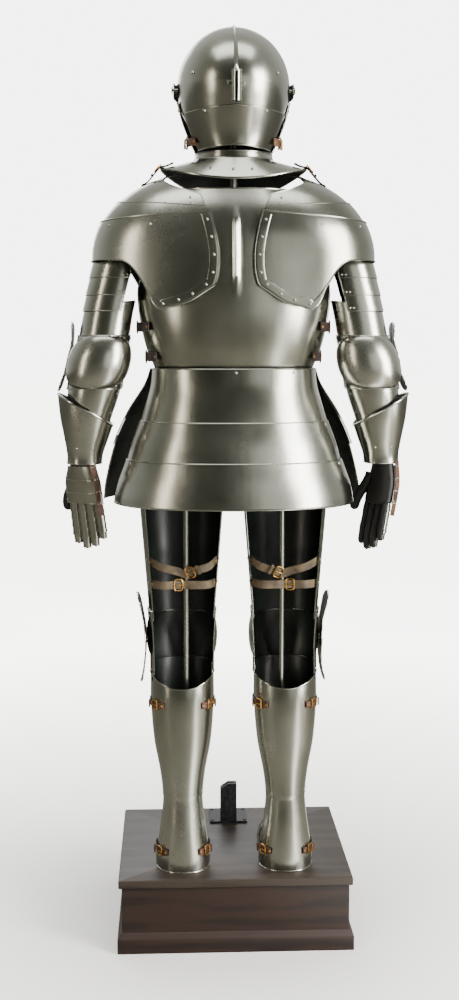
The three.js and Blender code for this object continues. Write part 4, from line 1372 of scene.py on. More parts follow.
        heart = around(self.pivot_z)
        wall = shell(self.visor_point, us, vs, heart, keep=keep)
        return [wall, *(roll(self.visor_point, heart, 1.4, 120, v=v) for v in (0.0, 1.0))]

    def build(self, shop: Workshop) -> None:
        """Makes every piece of the helmet.

        Args:
            shop: Workshop that makes the pieces.
        """
        shop.piece("skull_shell", self.skull(), "helmet_skull")
        shop.piece("visor_shell", self.visor(), "helmet_visor", body="visor")
        nape = Plate(
            HELM, 18, 162,
            lambda a: 1772 - 8 * np.abs(cos_sin(a)[0]),
            lambda a: 1699 - 8 * np.abs(cos_sin(a)[0]),
            lift=3.3,
        )
        heads = nape.rivets([(54, 1763), (126, 1763)], 4.0, 2.4)
        shop.piece("nape_plate", [*nape.dressed(90, 24, {"bottom": 1.8, "top": 1.0}), heads], "helmet_nape")
        bevor = Plate(
            BEVOR, -186, 6,
            lambda a: 1786 + 6 * cos_sin(a)[0] ** 2,
            lambda a: 1695 - 3 * cos_sin(a)[0] ** 2,
        )
        heads = bevor.rivets([(2, 1776), (178, 1776), (2, 1722), (178, 1722)])
        shop.piece("bevor_shell", [*bevor.dressed(110, 30, 1.6), heads], "helmet_bevor")
        self.plume(shop)
        self.straps(shop)

    def plume(self, shop: Workshop) -> None:
        """Plume holder: a split tube with a rolled mouth and two riveted ears.

        Args:
            shop: Workshop that makes the pieces.
        """

        def point(u: Array, v: Array) -> Array:
            """Circle arc carried down the back of the skull."""
            c, s = cos_sin(mix(-250.0, 70.0, u))
            return stack(9.5 * c, mix(132.0, 126.3, v) + 9 * s, mix(1835.0, 1776.0, v))

        def heart(p: Array) -> Array:
            """Axis of the tube."""
            z = p[..., 2]
            return stack(np.zeros_like(z), mix(126.3, 132.0, (z - 1776) / 59), z)

        wall = shell(point, 36, 12, heart, thickness=1.2)
        ear = HELM.point(np.linspace(80.5, 99.5, 15), 1812.0, 2.0)
        band = sweep(ear, unit(ear * LEVEL), soft_bar(9, 1.6) - np.array([0, 1.6]))
        heads = HELM.point(np.array([82.0, 98.0]), 1812.0, 2.0)
        rivets = domes(heads, heads * LEVEL, 2.6, 1.8)
        shop.piece("plume_tube", [wall, roll(point, heart, 1.1, 37, v=0.0), band, rivets], "plume_holder")

    def straps(self, shop: Workshop) -> None:
        """Chin straps from the nape to the bevor.

        Args:
            shop: Workshop that makes the pieces.
        """
        for name, side in SIDES:
            route = BEVOR.point(np.array([34.0, 22.0, 8.0, -4.0, -12.0]), 1708.0, 9.0, side)
            path = smooth_path(route, 40)
            strap = Strap(path, path * UPRIGHT + np.array([0, 6.0, 0]), width=16, buckle=0.5)
            shop.piece(f"chin_leather_{name}", strap.build(), f"chin_strap_{name}")


# The body


@dataclass
class Gorget:
    """Collar in two halves that spreads into a wide rolled rim."""

    ring: float = 80.0
    ring_z: float = 1687.0
    rim_x: float = 153.0
    rim_back: float = 106.0
    rim_front: float = 118.0

    def point(self, angle: Array, v: Array) -> Array:
        """Ring that spreads outwards below its first quarter.

        Args:
            angle: Angles in degrees.
            v: Values of v, from 0 to 1.

        Returns:
            Points of the outer face.
        """
        c, s = cos_sin(angle)
        depth = np.where(s > 0, self.rim_back, self.rim_front)
        part = (v - 0.25) / 0.75
        spread = np.where(v < 0.25, 0.25 * v, 0.0625 + 0.9375 * part)
        rim_z = 1657 - np.where(s > 0, 29.0, 52.0) * s * s
        fall = np.where(v < 0.25, v * 56, 14 + part * (self.ring_z - 14 - rim_z))
        x, y = mix(self.ring, self.rim_x, spread) * c, mix(self.ring - 2, depth, spread) * s
        return stack(x, y, self.ring_z - fall)

    def build(self, shop: Workshop) -> None:
        """Back and front halves with rolled rims; the back has three rivets.

        Args:
            shop: Workshop that makes the pieces.
        """
        heart = around(1560.0)
        for name, low, high in (("gorget_back", 0.13, 179.87), ("gorget_front", 180.13, 359.87)):

            def half(u: Array, v: Array, low: float = low, high: float = high) -> Array:
                """Half of the collar, its corner eased over a few millimetres."""
                angle = mix(low, high, u)
                return sum(self.point(angle, np.clip(v + shift, 0, 1)) for shift in (-0.03, 0.0, 0.03)) / 3

            patches = [shell(half, 90, spaced(30, 0.22, 0.28), heart)]
            patches += [roll(half, heart, radius, 91, v=v) for v, radius in ((0.0, 1.6), (1.0, 2.4))]
            if name == "gorget_back":
                patches.append(studs(self.point, heart, (66, 88, 106), 0.68, 3.6, 2.4))
            shop.piece(f"{name}_shell", patches, name)


def armhole(z: Array) -> Array:
    """Half angle that a trunk plate covers at a height."""
    return mix(80.0, 52.0, ease((np.asarray(z, float) - 1395) / 90))


@dataclass
class Cuirass:
    """Backplate with a raised middle ridge, breastplate with a keel, and four side straps."""

    top: float = 1609.0
    waist: float = 1222.0

    def ridge(self, angle: Array, z: Array) -> Array:
        """Narrow ridge down the middle of the back, with tapered ends."""
        ends = ease((z - 1380) / 60) * ease((1574 - z) / 40)
        return 4.4 * np.clip(1 - np.abs(angle - 90) / 1.5, 0, 1) * ends

    def build(self, shop: Workshop) -> None:
        """Makes both plates and the straps.

        Args:
            shop: Workshop that makes the pieces.
        """

        def span(v: Array) -> Array:
            """Half angle of the plate at a share of its height."""
            return armhole(mix(self.top, self.waist, v))

        sides = {"start": 2.2, "end": 2.2}
        back = Plate(TORSO, lambda v: 90 - span(v), lambda v: 90 + span(v), self.top, self.waist, self.ridge)
        middle = [0.5 + k / 130 for k in (-2.0, -1.5, -1.0, -0.5, 0, 0.5, 1.0, 1.5, 2.0)]
        across = spaced(84, *middle, near=0.003)
        shop.piece("back_shell", back.dressed(across, 72, {**sides, "top": 2.0}), "backplate")
        front = Plate(
            Sections(TORSO.names, TORSO.rows, power=2.2),
            lambda v: -90 - span(v), lambda v: -90 + span(v), self.top - 14, self.waist,
            lift=lambda a, z: 2.5 * np.clip(1 - np.abs(a + 90) / 9, 0, 1) * ease((z - 1230) / 60),
        )
        keel = [0.5 + k / 160 for k in (-4, -2, 0, 2, 4)]
        across = spaced(76, *keel, near=0.004)
        shop.piece("breast_shell", front.dressed(across, 60, {**sides, "top": 3.0}), "breastplate")
        for name, side in SIDES:
            for level, z in (("upper", 1330.0), ("lower", 1268.0)):
                route = TORSO.point(np.array([30.0, 20.0, 10.0, 0.0, -10.0, -20.0, -28.0]), z, 7.0, side)
                path = smooth_path(route, 60)
                strap = Strap(path, path * UPRIGHT, width=20, buckle=0.4, skin=Skin.HARNESS)
                shop.piece(f"side_leather_{level}_{name}", strap.build(), f"side_strap_{level}_{name}")


@dataclass
class Skirt:
    """Culet of three lames behind, fauld of three lames in front, and two tassets."""

    def build(self, shop: Workshop) -> None:
        """Makes the lames, each with a soft rolled lower edge.

        Args:
            shop: Workshop that makes the pieces.
        """
        for number, high, low in ((1, 1243, 1124), (2, 1134, 1041), (3, 1053, 962)):

            def lift(
                angle: Array, z: Array, number: int = number, high: float = high, low: float = low
            ) -> Array:
                """Stand-off that swells in the middle of the lame and springs out at its low edge."""
                share = (high - z) / (high - low)
                return number * LAP + 0.6 + 1.6 * np.sin(math.pi * np.clip(share, 0, 1)) ** 2

            lame = Plate(CULET, 10, 170, high, low, lift=lift)
            heads = [(a, high - 7) for a in ((50, 90, 130) if number == 1 else (22, 158))]
            parts = lame.dressed(110, 24, {"bottom": 2.2 if number == 3 else 1.0}, 120)
            parts += [lame.bead("start", 1.5), lame.bead("end", 1.5), lame.bead("top", 1.5, 120, 0.3)]
            parts.append(lame.rivets(heads, 3.2, 1.8))
            shop.piece(f"culet_lame_{number}_shell", parts, f"culet_lame_{number}")
        parts = []
        for index, (high, low) in enumerate(((1243, 1188), (1194, 1136), (1142, 1080))):
            lame = Plate(FAULD, -176, -4, high, low, lift=2 * LAP - 1.6 * index + 0.4)
            heads = [(a, high - 6) for a in (-168, -12, -130, -50)]
            parts += [*lame.dressed(90, 12, {"bottom": 1.0}, 110), lame.rivets(heads, 3.0, 1.8)]
        whole = Plate(FAULD, -176, -4, 1243, 1080, lift=2 * LAP)
        shop.piece("fauld_shell", [*parts, whole.bead("start", 1.4), whole.bead("end", 1.4)], "fauld")
        for name, side in SIDES:
            tasset = Plate(FAULD, -87, -11, 1096, 960, lift=3 * LAP - 2.1, side=side)
            heads = tasset.rivets([(-75.7, 1089), (-32.7, 1089), (-54, 1089)], 3.4, 2.0)
            shop.piece(f"tasset_shell_{name}", [*tasset.dressed(60, 40, 1.8), heads], f"tasset_{name}")


# The shoulders


@dataclass
class Pauldron:
    """Shoulder defence: a main plate with two winged ends, and two lames over the shoulder."""

    name: str
    side: int
    a: float = 298.0
    b: float = 146.0
    f: float = 172.0
    z: float = 1470.0
    height: float = 190.0
    power: float = 2.6

    def form(self, angle: Array, z: Array, lift: Array | float = 0.0) -> Array:
        """Superellipsoid of the shoulder: straight under its level, closing above it.

        Args:
            angle: Angles in degrees.
            z: Heights.
            lift: Distance moved outward.

        Returns:
            Points of the outer face.
        """
        rise = np.maximum(0.0, (z - self.z) / self.height)
        reach = np.maximum(1 - rise * rise, 0.0) ** (1 / self.power)
        c, s = cos_sin(angle)
        depth = np.where(s > 0, self.b, self.f)
        x = (self.a * reach + lift) * np.abs(c) ** (2 / self.power)
        y = (depth * reach + lift) * bent(s, 2 / self.power)
        return stack(self.side * x, y, z + lift * rise)

    def angle_at(self, x: Array, z: Array) -> Array:
        """Angle at which the form has a distance x from the middle plane.

        Args:
            x: Distances from the middle plane.
            z: Heights.

        Returns:
            Angles in degrees.
        """
        rise = np.maximum(0.0, (z - self.z) / self.height)
        reach = np.maximum(1 - rise * rise, 0.05) ** (1 / self.power)
        return np.degrees(np.arccos(np.clip(x / (self.a * reach), 0, 1) ** (self.power / 2)))

    def edge(self, z: Array, front: Array) -> Array:
        """Angle of a wing's inner edge; the front wing ends further out."""
        return self.angle_at(WING_EDGE.column("x", z) + np.where(front, 34.0, 0.0), z)

    def heart(self, p: Array) -> Array:
        """Point deep under the shoulder."""
        z = np.minimum(p[..., 2], 1470.0)
        return stack(np.full_like(z, self.side * 120.0), np.zeros_like(z), z)

    def main(self, u: Array, v: Array) -> Array:
        """Main plate: u runs from the back wing over the arm to the front wing.

        Args:
            u: Values of u, from 0 to 1.
            v: Values of v, from 0 to 1.

        Returns:
            Points of the outer face.
        """
        turn = mix(1.0, -1.0, u)
        part = np.abs(turn)
        z = mix(mix(1546.0, 1562.0, part**2), WING_LOW.column("low", part), v)
        return self.form(turn * self.edge(z, turn < 0), z, 0.0)

    def lame(self, low: float, high: float, lift: float) -> Surface:
        """One lame over the shoulder, as a share of the height between its neighbours.

        Args:
            low: Share where the lame starts.
            high: Share where the lame ends.
            lift: Distance moved outward.

        Returns:
            The lame as a function of u and v.
        """

        def point(u: Array, v: Array) -> Array:
            """Point of the lame.

            Args:
                u: Values of u, from 0 to 1.
                v: Values of v, from 0 to 1.

            Returns:
                Points of the outer face.
            """
            turn = mix(1.0, -1.0, u)
            part = np.abs(turn)
            share = mix(low, high, v)
            z = mix(mix(1652.0, 1600.0, part**2), mix(1536.0, 1552.0, part**2), share)
            return self.form(turn * (self.edge(z, turn < 0) - 1), z, lift)

        return point

    def outline(self, front: bool, count: int = 160) -> tuple[Array, Array]:
        """Distance and height along a wing's edge, from the shoulder down and round its corner.

        Args:
            front: Whether it is the front wing.
            count: Number of points made.

        Returns:
            Distances from the middle plane, and heights.
        """
        z_side = np.linspace(1558, WING_LOW.column("low", 1.0), 60)
        part = np.linspace(1.0, 0.66, 100)[1:]
        low = WING_LOW.column("low", part)
        z = np.concatenate([z_side, low])
        share = np.concatenate([np.ones(60), part])
        angle = share * self.edge(z, front) * (-1 if front else 1)
        points = self.form(angle, z, 0.0)
        run = np.concatenate([[0.0], np.cumsum(np.linalg.norm(np.diff(points, axis=0), axis=1))])
        even = np.linspace(0, run[-1], count)
        return np.interp(even, run, np.abs(points[:, 0])), np.interp(even, run, z)

    def border(self, front: bool, width: float = 19.0) -> list[Patch]:
        """Raised riveted band along a wing's edge.

        Args:
            front: Whether it is the front wing.
            width: Width of the band.

        Returns:
            The parts of its mesh.
        """
        x, z = self.outline(front)
        sign = -1 if front else 1
        dx, dz = np.gradient(x), np.gradient(z)
        size = np.hypot(dx, dz)
        inward = np.stack([-dz / size, dx / size], 1)
        soften = np.ones(9) / 9
        padded = np.pad(inward, ((4, 4), (0, 0)), mode="edge")
        inward = np.stack([np.convolve(padded[:, k], soften, mode="valid") for k in (0, 1)], 1)
        taper = 0.15 + 0.85 * ease(np.linspace(1.0, 0.0, len(x)) / 0.22)

        def point(u: Array, v: Array) -> Array:
            """Band between the edge and a line inside it, a little proud of the plate.

            Args:
                u: Values of u, from 0 to 1.
                v: Values of v, from 0 to 1.

            Returns:
                Points of the outer face.
            """
            share = u * (len(x) - 1)
            index = np.arange(len(x))
            step = v * width * np.interp(share, index, taper)
            px = np.interp(share, index, x) + np.interp(share, index, inward[:, 0]) * step
            pz = np.interp(share, index, z) + np.interp(share, index, inward[:, 1]) * step
            lift = 1.5 - 0.9 * np.abs(2 * v - 1) ** 8
            return self.form(sign * self.angle_at(px, pz), pz, lift)

        band = shell(point, 120, 8, self.heart, thickness=1.2, skins=(Skin.STEEL, Skin.STEEL))
        along = (0.04, 0.15, 0.26, 0.37, 0.48, 0.58, 0.68, 0.78)
        return [band, studs(point, self.heart, along, 0.5, 3.4, 2.2)]

    def build(self, shop: Workshop) -> None:
        """Makes the main plate, the lames and the shoulder strap.

        Args:
            shop: Workshop that makes the pieces.
        """
        patches = [shell(self.main, 112, 38, self.heart)]
        patches += [roll(self.main, self.heart, 1.8, 160, v=v) for v in (1.0, 0.0)]
        patches += [roll(self.main, self.heart, 1.8, 60, u=u) for u in (0.0, 1.0)]
        patches += self.border(False) + self.border(True)
        patches.append(studs(self.form, self.heart, (-40, 0, 28, 58), 1535, 3.2, 2.0))
        shop.piece(f"pauldron_shell_{self.name}", patches, f"pauldron_{self.name}")
        upper, lower = self.lame(0.0, 0.63, -LAP - 1.9), self.lame(0.56, 1.0, -LAP)
        parts = []
        for point in (upper, lower):
            parts.append(shell(point, 96, 18, self.heart))
            parts += [roll(point, self.heart, 1.0, 160, v=v) for v in (0.0, 1.0)]
        parts += [roll(upper, self.heart, 1.5, 40, u=u) for u in (0.0, 1.0)]
        across, down = (0.035, 0.035, 0.12, 0.5, 0.88, 0.965), (0.42, 0.78, 0.86, 0.86, 0.86, 0.6)
        parts.append(studs(upper, self.heart, across, down, 3.0, 2.0))
        shop.piece(f"pauldron_lame_shell_{self.name}", parts, f"pauldron_lames_{self.name}")
        route = [(126, 1669), (140, 1663), (153, 1660), (162, 1651), (171, 1640), (181, 1629), (193, 1621.5)]
        path = smooth_path([(self.side * x, 20.0, z) for x, z in route], 40)
        under = np.array([self.side * 110.0, 20.0, 1560.0])
        strap = Strap(path, under, width=18, buckle=0.4, skin=Skin.HARNESS)
        shop.piece(f"shoulder_leather_{self.name}", strap.build(), f"shoulder_strap_{self.name}")


# Arms and hands


def fan_plate(
    side: int,
    outer_x: Callable[[Array], Array],
    z: float,
    reach: float,
    y: float,
    wide: float,
    stand: float,
    flare: float,
) -> list[Patch]:
    """Fan-shaped wing on the outer side of a joint: two lobes that bend away at their ends.

    Args:
        side: 1 for the left side, -1 for the right.
        outer_x: Distance of the limb's outer line from the middle plane, by height.
        z: Height of its waist.
        reach: Half its length.
        y: Its middle, front to back.
        wide: Half its width.
        stand: Distance from the limb at the waist.
        flare: More distance at its ends.

    Returns:
        The creased wing and its four rolled edges.
    """

    def point(u: Array, v: Array) -> Array:
        """Lobe width times the across share, at a height, standing off the limb.

        Args:
            u: Values of u, from 0 to 1.
            v: Values of v, from 0 to 1.

        Returns:
            Points of the outer face.
        """
        t = mix(-1.0, 1.0, v)
        lobe = np.sqrt(np.maximum(1 - t**6, 0.03)) * (0.8 + 0.2 * np.cos(2 * math.pi * t))
        height = z + t * reach
        across = mix(-1.0, 1.0, u)
        crease = 2.4 * np.exp(-((across / 0.09) ** 2)) * ease(np.abs(t) * 2.2)
        out = outer_x(height) + stand + flare * t * t + crease
        return stack(side * out, y + across * lobe * wide, height)

    def heart(p: Array) -> Array:
        """Middle line of the body at the same height."""
        return p * UPRIGHT

    t, zero, one = np.linspace(0, 1, 80), np.zeros(80), np.ones(80)
    rims = [point(u, v) for u, v in ((zero, t), (one, t), (t, zero), (t, one))]
    out = np.array([side, 0.0, 0.0])
    return [shell(point, 36, 52, heart), *(sweep(rim, out, circle(1.5)) for rim in rims)]


@dataclass
class ArmDefence:
    """One arm: lames on the upper arm, two cannons, the elbow and the gauntlet's cuff."""

    name: str
    side: int

    def dome(self, angle: Array, z: Array) -> Array:
        """Elbow boss: a low round dome behind the elbow."""
        away = np.minimum(1.0, np.hypot((z - 1257) / 56, (angle - 90) / 100))
        return LAP + 16 * np.sqrt(1 - away * away)

    def build(self, shop: Workshop) -> None:
        """Makes every plate of the arm.

        Args:
            shop: Workshop that makes the pieces.
        """
        s, name = self.side, self.name
        parts = []
        for index, (high, low) in enumerate(((1474, 1432), (1440, 1396), (1404, 1363))):
            lame = Plate(ARM, -112, 118, high, low, lift=LAP + 3.2 - 1.6 * index, side=s)
            heads = [(a, low + 6) for a in (104, 112, -104)]
            parts += [*lame.dressed(76, 10, {"bottom": 1.0}, 90), lame.bead("end", 1.2)]
            parts.append(lame.rivets(heads, 2.8, 1.8))
        shop.piece(f"arm_lame_shell_{name}", parts, f"upper_arm_lames_{name}")
        upper = Plate(ARM, 0, 360, lambda a: 1378 - 6 * cos_sin(a)[0], 1290, side=s, closed=True)
        parts = upper.dressed(96, 30, {"bottom": 1.3, "top": 1.3}, 96)
        shop.piece(f"upper_cannon_shell_{name}", parts, f"upper_cannon_{name}")
        lower = Plate(ARM, 0, 360, 1216, 1066, side=s, closed=True)
        parts = lower.dressed(80, 36, {"top": 1.3, "bottom": 1.3}, 96)
        parts.append(lower.rivets([(158, z) for z in (1110, 1150, 1190)], 2.6, 1.6))
        shop.piece(f"lower_cannon_shell_{name}", parts, f"lower_cannon_{name}")
        elbow = Plate(ARM, -44, 206, 1312, 1201, lift=self.dome, side=s)

        def outer(z: Array) -> Array:
            """Outer line of the arm."""
            return ARM.column("x", z) + ARM.column("a", z)

        x = float(outer(1262.0)) + 2
        profile = ((0, 0), (5, 0), (5, 9), (7.5, 9.2), (7.2, 10.2), (4, 11.3), (0, 11.6))
        parts = elbow.dressed(84, 50, 1.4, 90) + fan_plate(s, outer, 1268, 72, -8, 46, 12, 9)
        heads = [(-22, 1306), (180, 1306), (-22, 1207), (180, 1207), (140, 1306), (140, 1207)]
        parts += [lathe(profile, (s * x, 22, 1262), s), elbow.rivets(heads, 2.8, 1.8)]
        shop.piece(f"couter_shell_{name}", parts, f"couter_{name}")
        cuff = Plate(CUFF, 0, 360, lambda a: 1156 + 34 * cos_sin(a)[0], 1042, side=s, closed=True)
        parts = cuff.dressed(84, 28, {"top": 2.4, "bottom": 1.4}, 96)
        parts.append(cuff.rivets([(67.5, 1076), (247.5, 1076), (112, 1076)], 3.0, 2.0))
        shop.piece(f"cuff_shell_{name}", parts, f"gauntlet_cuff_{name}")


@dataclass
class Hand:
    """One gauntlet hand: leather glove, plate over its back and lames over the fingers."""

    name: str
    side: int
    turn: float
    top: float = 1052.0
    length: float = 98.0
    wide: float = 42.0
    thick: float = 15.0
    curl: float = 34.0
    fingers: tuple[tuple[float, float, float], ...] = (
        (-30, 78, 9),
        (-10, 96, 9.5),
        (11, 102, 9.5),
        (31, 92, 9.5),
    )

    def place(self, across: Array, out: Array, down: Array) -> Array:
        """Point by its distance across the hand, out of its back and down from the wrist.

        Args:
            across: Distance across the hand.
            out: Distance out of its back.
            down: Distance down from the wrist.

        Returns:
            The point for each set of values.
        """
        turn = math.radians(self.turn)
        back = np.array([math.cos(turn), math.sin(turn), 0.0])
        side = np.array([math.sin(turn), -math.cos(turn), 0.0])
        bend = -self.curl * ease(np.asarray(down, float) / 230)
        across, out, down, bend = np.broadcast_arrays(across, out, down, bend)
        p = np.array([322.0, 13.0, self.top]) + across[..., None] * side + (out + bend)[..., None] * back
        p[..., 2] -= down
        return p * np.array([self.side, 1.0, 1.0])

    def heart(self, p: Array) -> Array:
        """Middle line of the hand at a point's height."""
        return self.place(0.0, 0.0, self.top - p[..., 2])

    def opening(self, down: Array) -> Array:
        """Share of the palm's full width at a distance down."""
        return mix(0.72, 1.0, ease(down / self.length * 1.6))

    def end(self, v: Array, start: float, least: float) -> Array:
        """Share of the full size near a rounded end that begins at a share of the length."""
        return np.sqrt(np.clip(1 - np.clip((v - start) / (1 - start), 0, 1) ** 2, least, 1))

    def palm(self, u: Array, v: Array) -> Array:
        """Flattened tube from the wrist to the knuckles, closing at its end.

        Args:
            u: Values of u, from 0 to 1.
            v: Values of v, from 0 to 1.

        Returns:
            Points of the outer face.
        """
        a = u * 2 * math.pi
        down = mix(2.0, self.length + 4, v)
        close = self.end(v, 0.9, 0.0004)
        w = (self.wide * self.opening(down) - 1) * close * bent(np.cos(a), 0.8)
        return self.place(w, (self.thick - 1) * close * bent(np.sin(a), 0.8), down)

    def digit(self, across: float, length: float, radius: float) -> tuple[Array, Array]:
        """Middle line and radii of a finger.

        Args:
            across: Distance across the hand.
            length: Length past the knuckles.
            radius: Radius of the finger.

        Returns:
            Points of the middle line, and the radius at each.
        """
        v = np.linspace(0, 1, 40)
        down = mix(self.length - 22, self.length + length, v)
        centre = self.place(across * (1 + 0.06 * v), np.zeros_like(v), down)
        joints = 1 + 0.05 * np.cos(v * 6 * math.pi)
        return centre, radius * 0.96 * joints * self.end(v, 0.88, 0.003)

    def finger(self, centre: Array, radii: Array) -> Patch:
        """Closed leather tube round a middle line: centre + radius * (cos, sin) across it.

        Args:
            centre: Points of the middle line.
            radii: Radius at each of them.

        Returns:
            The tube as a patch.
        """
        c, s = cos_sin(self.turn)
        _, out, across = frames(centre, np.array([c * self.side, s, 0.0]), False)
        rings = centre[:, None] + spokes(across, out, 16) * radii[:, None, None]
        return tube(rings, Skin.GLOVE, centre[[0, -1]])

    def glove(self) -> list[Patch]:
        """Palm, four fingers and the thumb in leather.

        Returns:
            The parts of its mesh.
        """
        down = spaced(50, 0.93, 0.96, 0.985)
        leather = (Skin.GLOVE, Skin.GLOVE)
        palm = shell(self.palm, 48, down, self.heart, thickness=1.4, closed=True, skins=leather)
        v = np.linspace(0, 1, 32)
        thumb = self.place(mix(30.0, 60.0, ease(v * 1.2)), -8 - 8 * v, mix(34.0, 118.0, v))
        digits = [self.digit(*finger) for finger in self.fingers]
        digits.append((thumb, 10.8 * self.end(v, 0.86, 0.003)))
        return [palm, *(self.finger(centre, radii) for centre, radii in digits)]

    def back_plate(self) -> list[Patch]:
        """Plates over the back of the hand: three lames with a leather strip riveted beside them.

        Returns:
            The parts of its mesh.
        """
        parts = []
        for index, (first, last) in enumerate(((16, 46), (42, 74), (70, self.length - 2))):
            stand = 3.4 + 0.5 * index

            def point(
                u: Array, v: Array, first: float = first, last: float = last, stand: float = stand
            ) -> Array:
                """Half round plate over the back of the hand.

                Args:
                    u: Values of u, from 0 to 1.
                    v: Values of v, from 0 to 1.
                    first: Distance where it starts.
                    last: Distance where it ends.
                    stand: Distance from the glove.

                Returns:
                    Points of the outer face.
                """
                c, s = cos_sin(mix(8.0, 172.0, u))
                down = mix(first, last, v)
                w = (self.wide * self.opening(down) + stand) * bent(c, 0.8)
                return self.place(w, (self.thick + stand) * np.abs(s) ** 0.8, down)

            parts += [shell(point, 60, 16, self.heart), roll(point, self.heart, 0.9, 60, v=1.0)]
            parts.append(studs(point, self.heart, (0.1, 0.2, 0.8, 0.9), 0.8, 2.3, 1.6))
        return parts + self.finger_lames() + self.side_strip()

    def side_strip(self) -> list[Patch]:
        """Leather strip down the inner side of the plates, held by pairs of rivets.

        Returns:
            The parts of its mesh.
        """
        c, s = cos_sin(146.0)
        down = np.linspace(8, self.length + 24, 40)
        stand = 5.4
        reach = -((self.wide * self.opening(down) + stand) * abs(c) ** 0.8)
        path = self.place(reach, (self.thick + stand) * s**0.8, down)
        outward = unit(path - self.heart(path))
        _, out, across = frames(path, outward, False)
        rows = np.array([3, 12, 21, 30])
        spots = np.concatenate([path[rows] + across[rows] * shift + out[rows] * 1.7 for shift in (-3.8, 3.8)])
        heads = domes(spots, np.concatenate([out[rows], out[rows]]), 2.2, 1.6)
        return [sweep(path, outward, soft_bar(15, 1.8), Skin.STRAP), heads]

    def finger_lames(self) -> list[Patch]:
        """Small overlapping scales over the back of each finger.

        Returns:
            The parts of its mesh.
        """
        parts = []
        pieces = 5
        for across, length, radius in self.fingers:
            for k in range(pieces):
                start = self.length + (length - 4) * k / pieces - 3
                end = self.length + (length - 4) * (k + 1) / pieces + 1
                grow = 2.0 - (3.4 if k == pieces - 1 else 0.0)
                middle = across * (1 + 0.06 * k / pieces)

                def scale(u: Array, v: Array, row: tuple = (start, end, grow, middle, radius)) -> Array:
                    """Half ring over the finger, wider towards the fingertip end.

                    Args:
                        u: Values of u, from 0 to 1.
                        v: Values of v, from 0 to 1.
                        row: Start, end, widening, middle and radius of the scale.

                    Returns:
                        Points of the outer face.
                    """
                    start, end, grow, middle, radius = row
                    c, s = cos_sin(mix(-8.0, 188.0, u))
                    r = radius + 1.2 + grow * v
                    return self.place(middle + r * 0.98 * c, r * s, mix(start, end, v))

                def heart(p: Array, across: float = across) -> Array:
                    """Middle line of the finger."""
                    return self.place(across, 0.0, self.top - p[..., 2])

                parts.append(shell(scale, 16, 4, heart, thickness=0.9))
        return parts

    def build(self, shop: Workshop) -> None:
        """Makes the glove and the plates."""
        shop.piece(f"glove_leather_{self.name}", self.glove(), f"glove_{self.name}")
        shop.piece(f"hand_shell_{self.name}", self.back_plate(), f"hand_plate_{self.name}")


# Legs


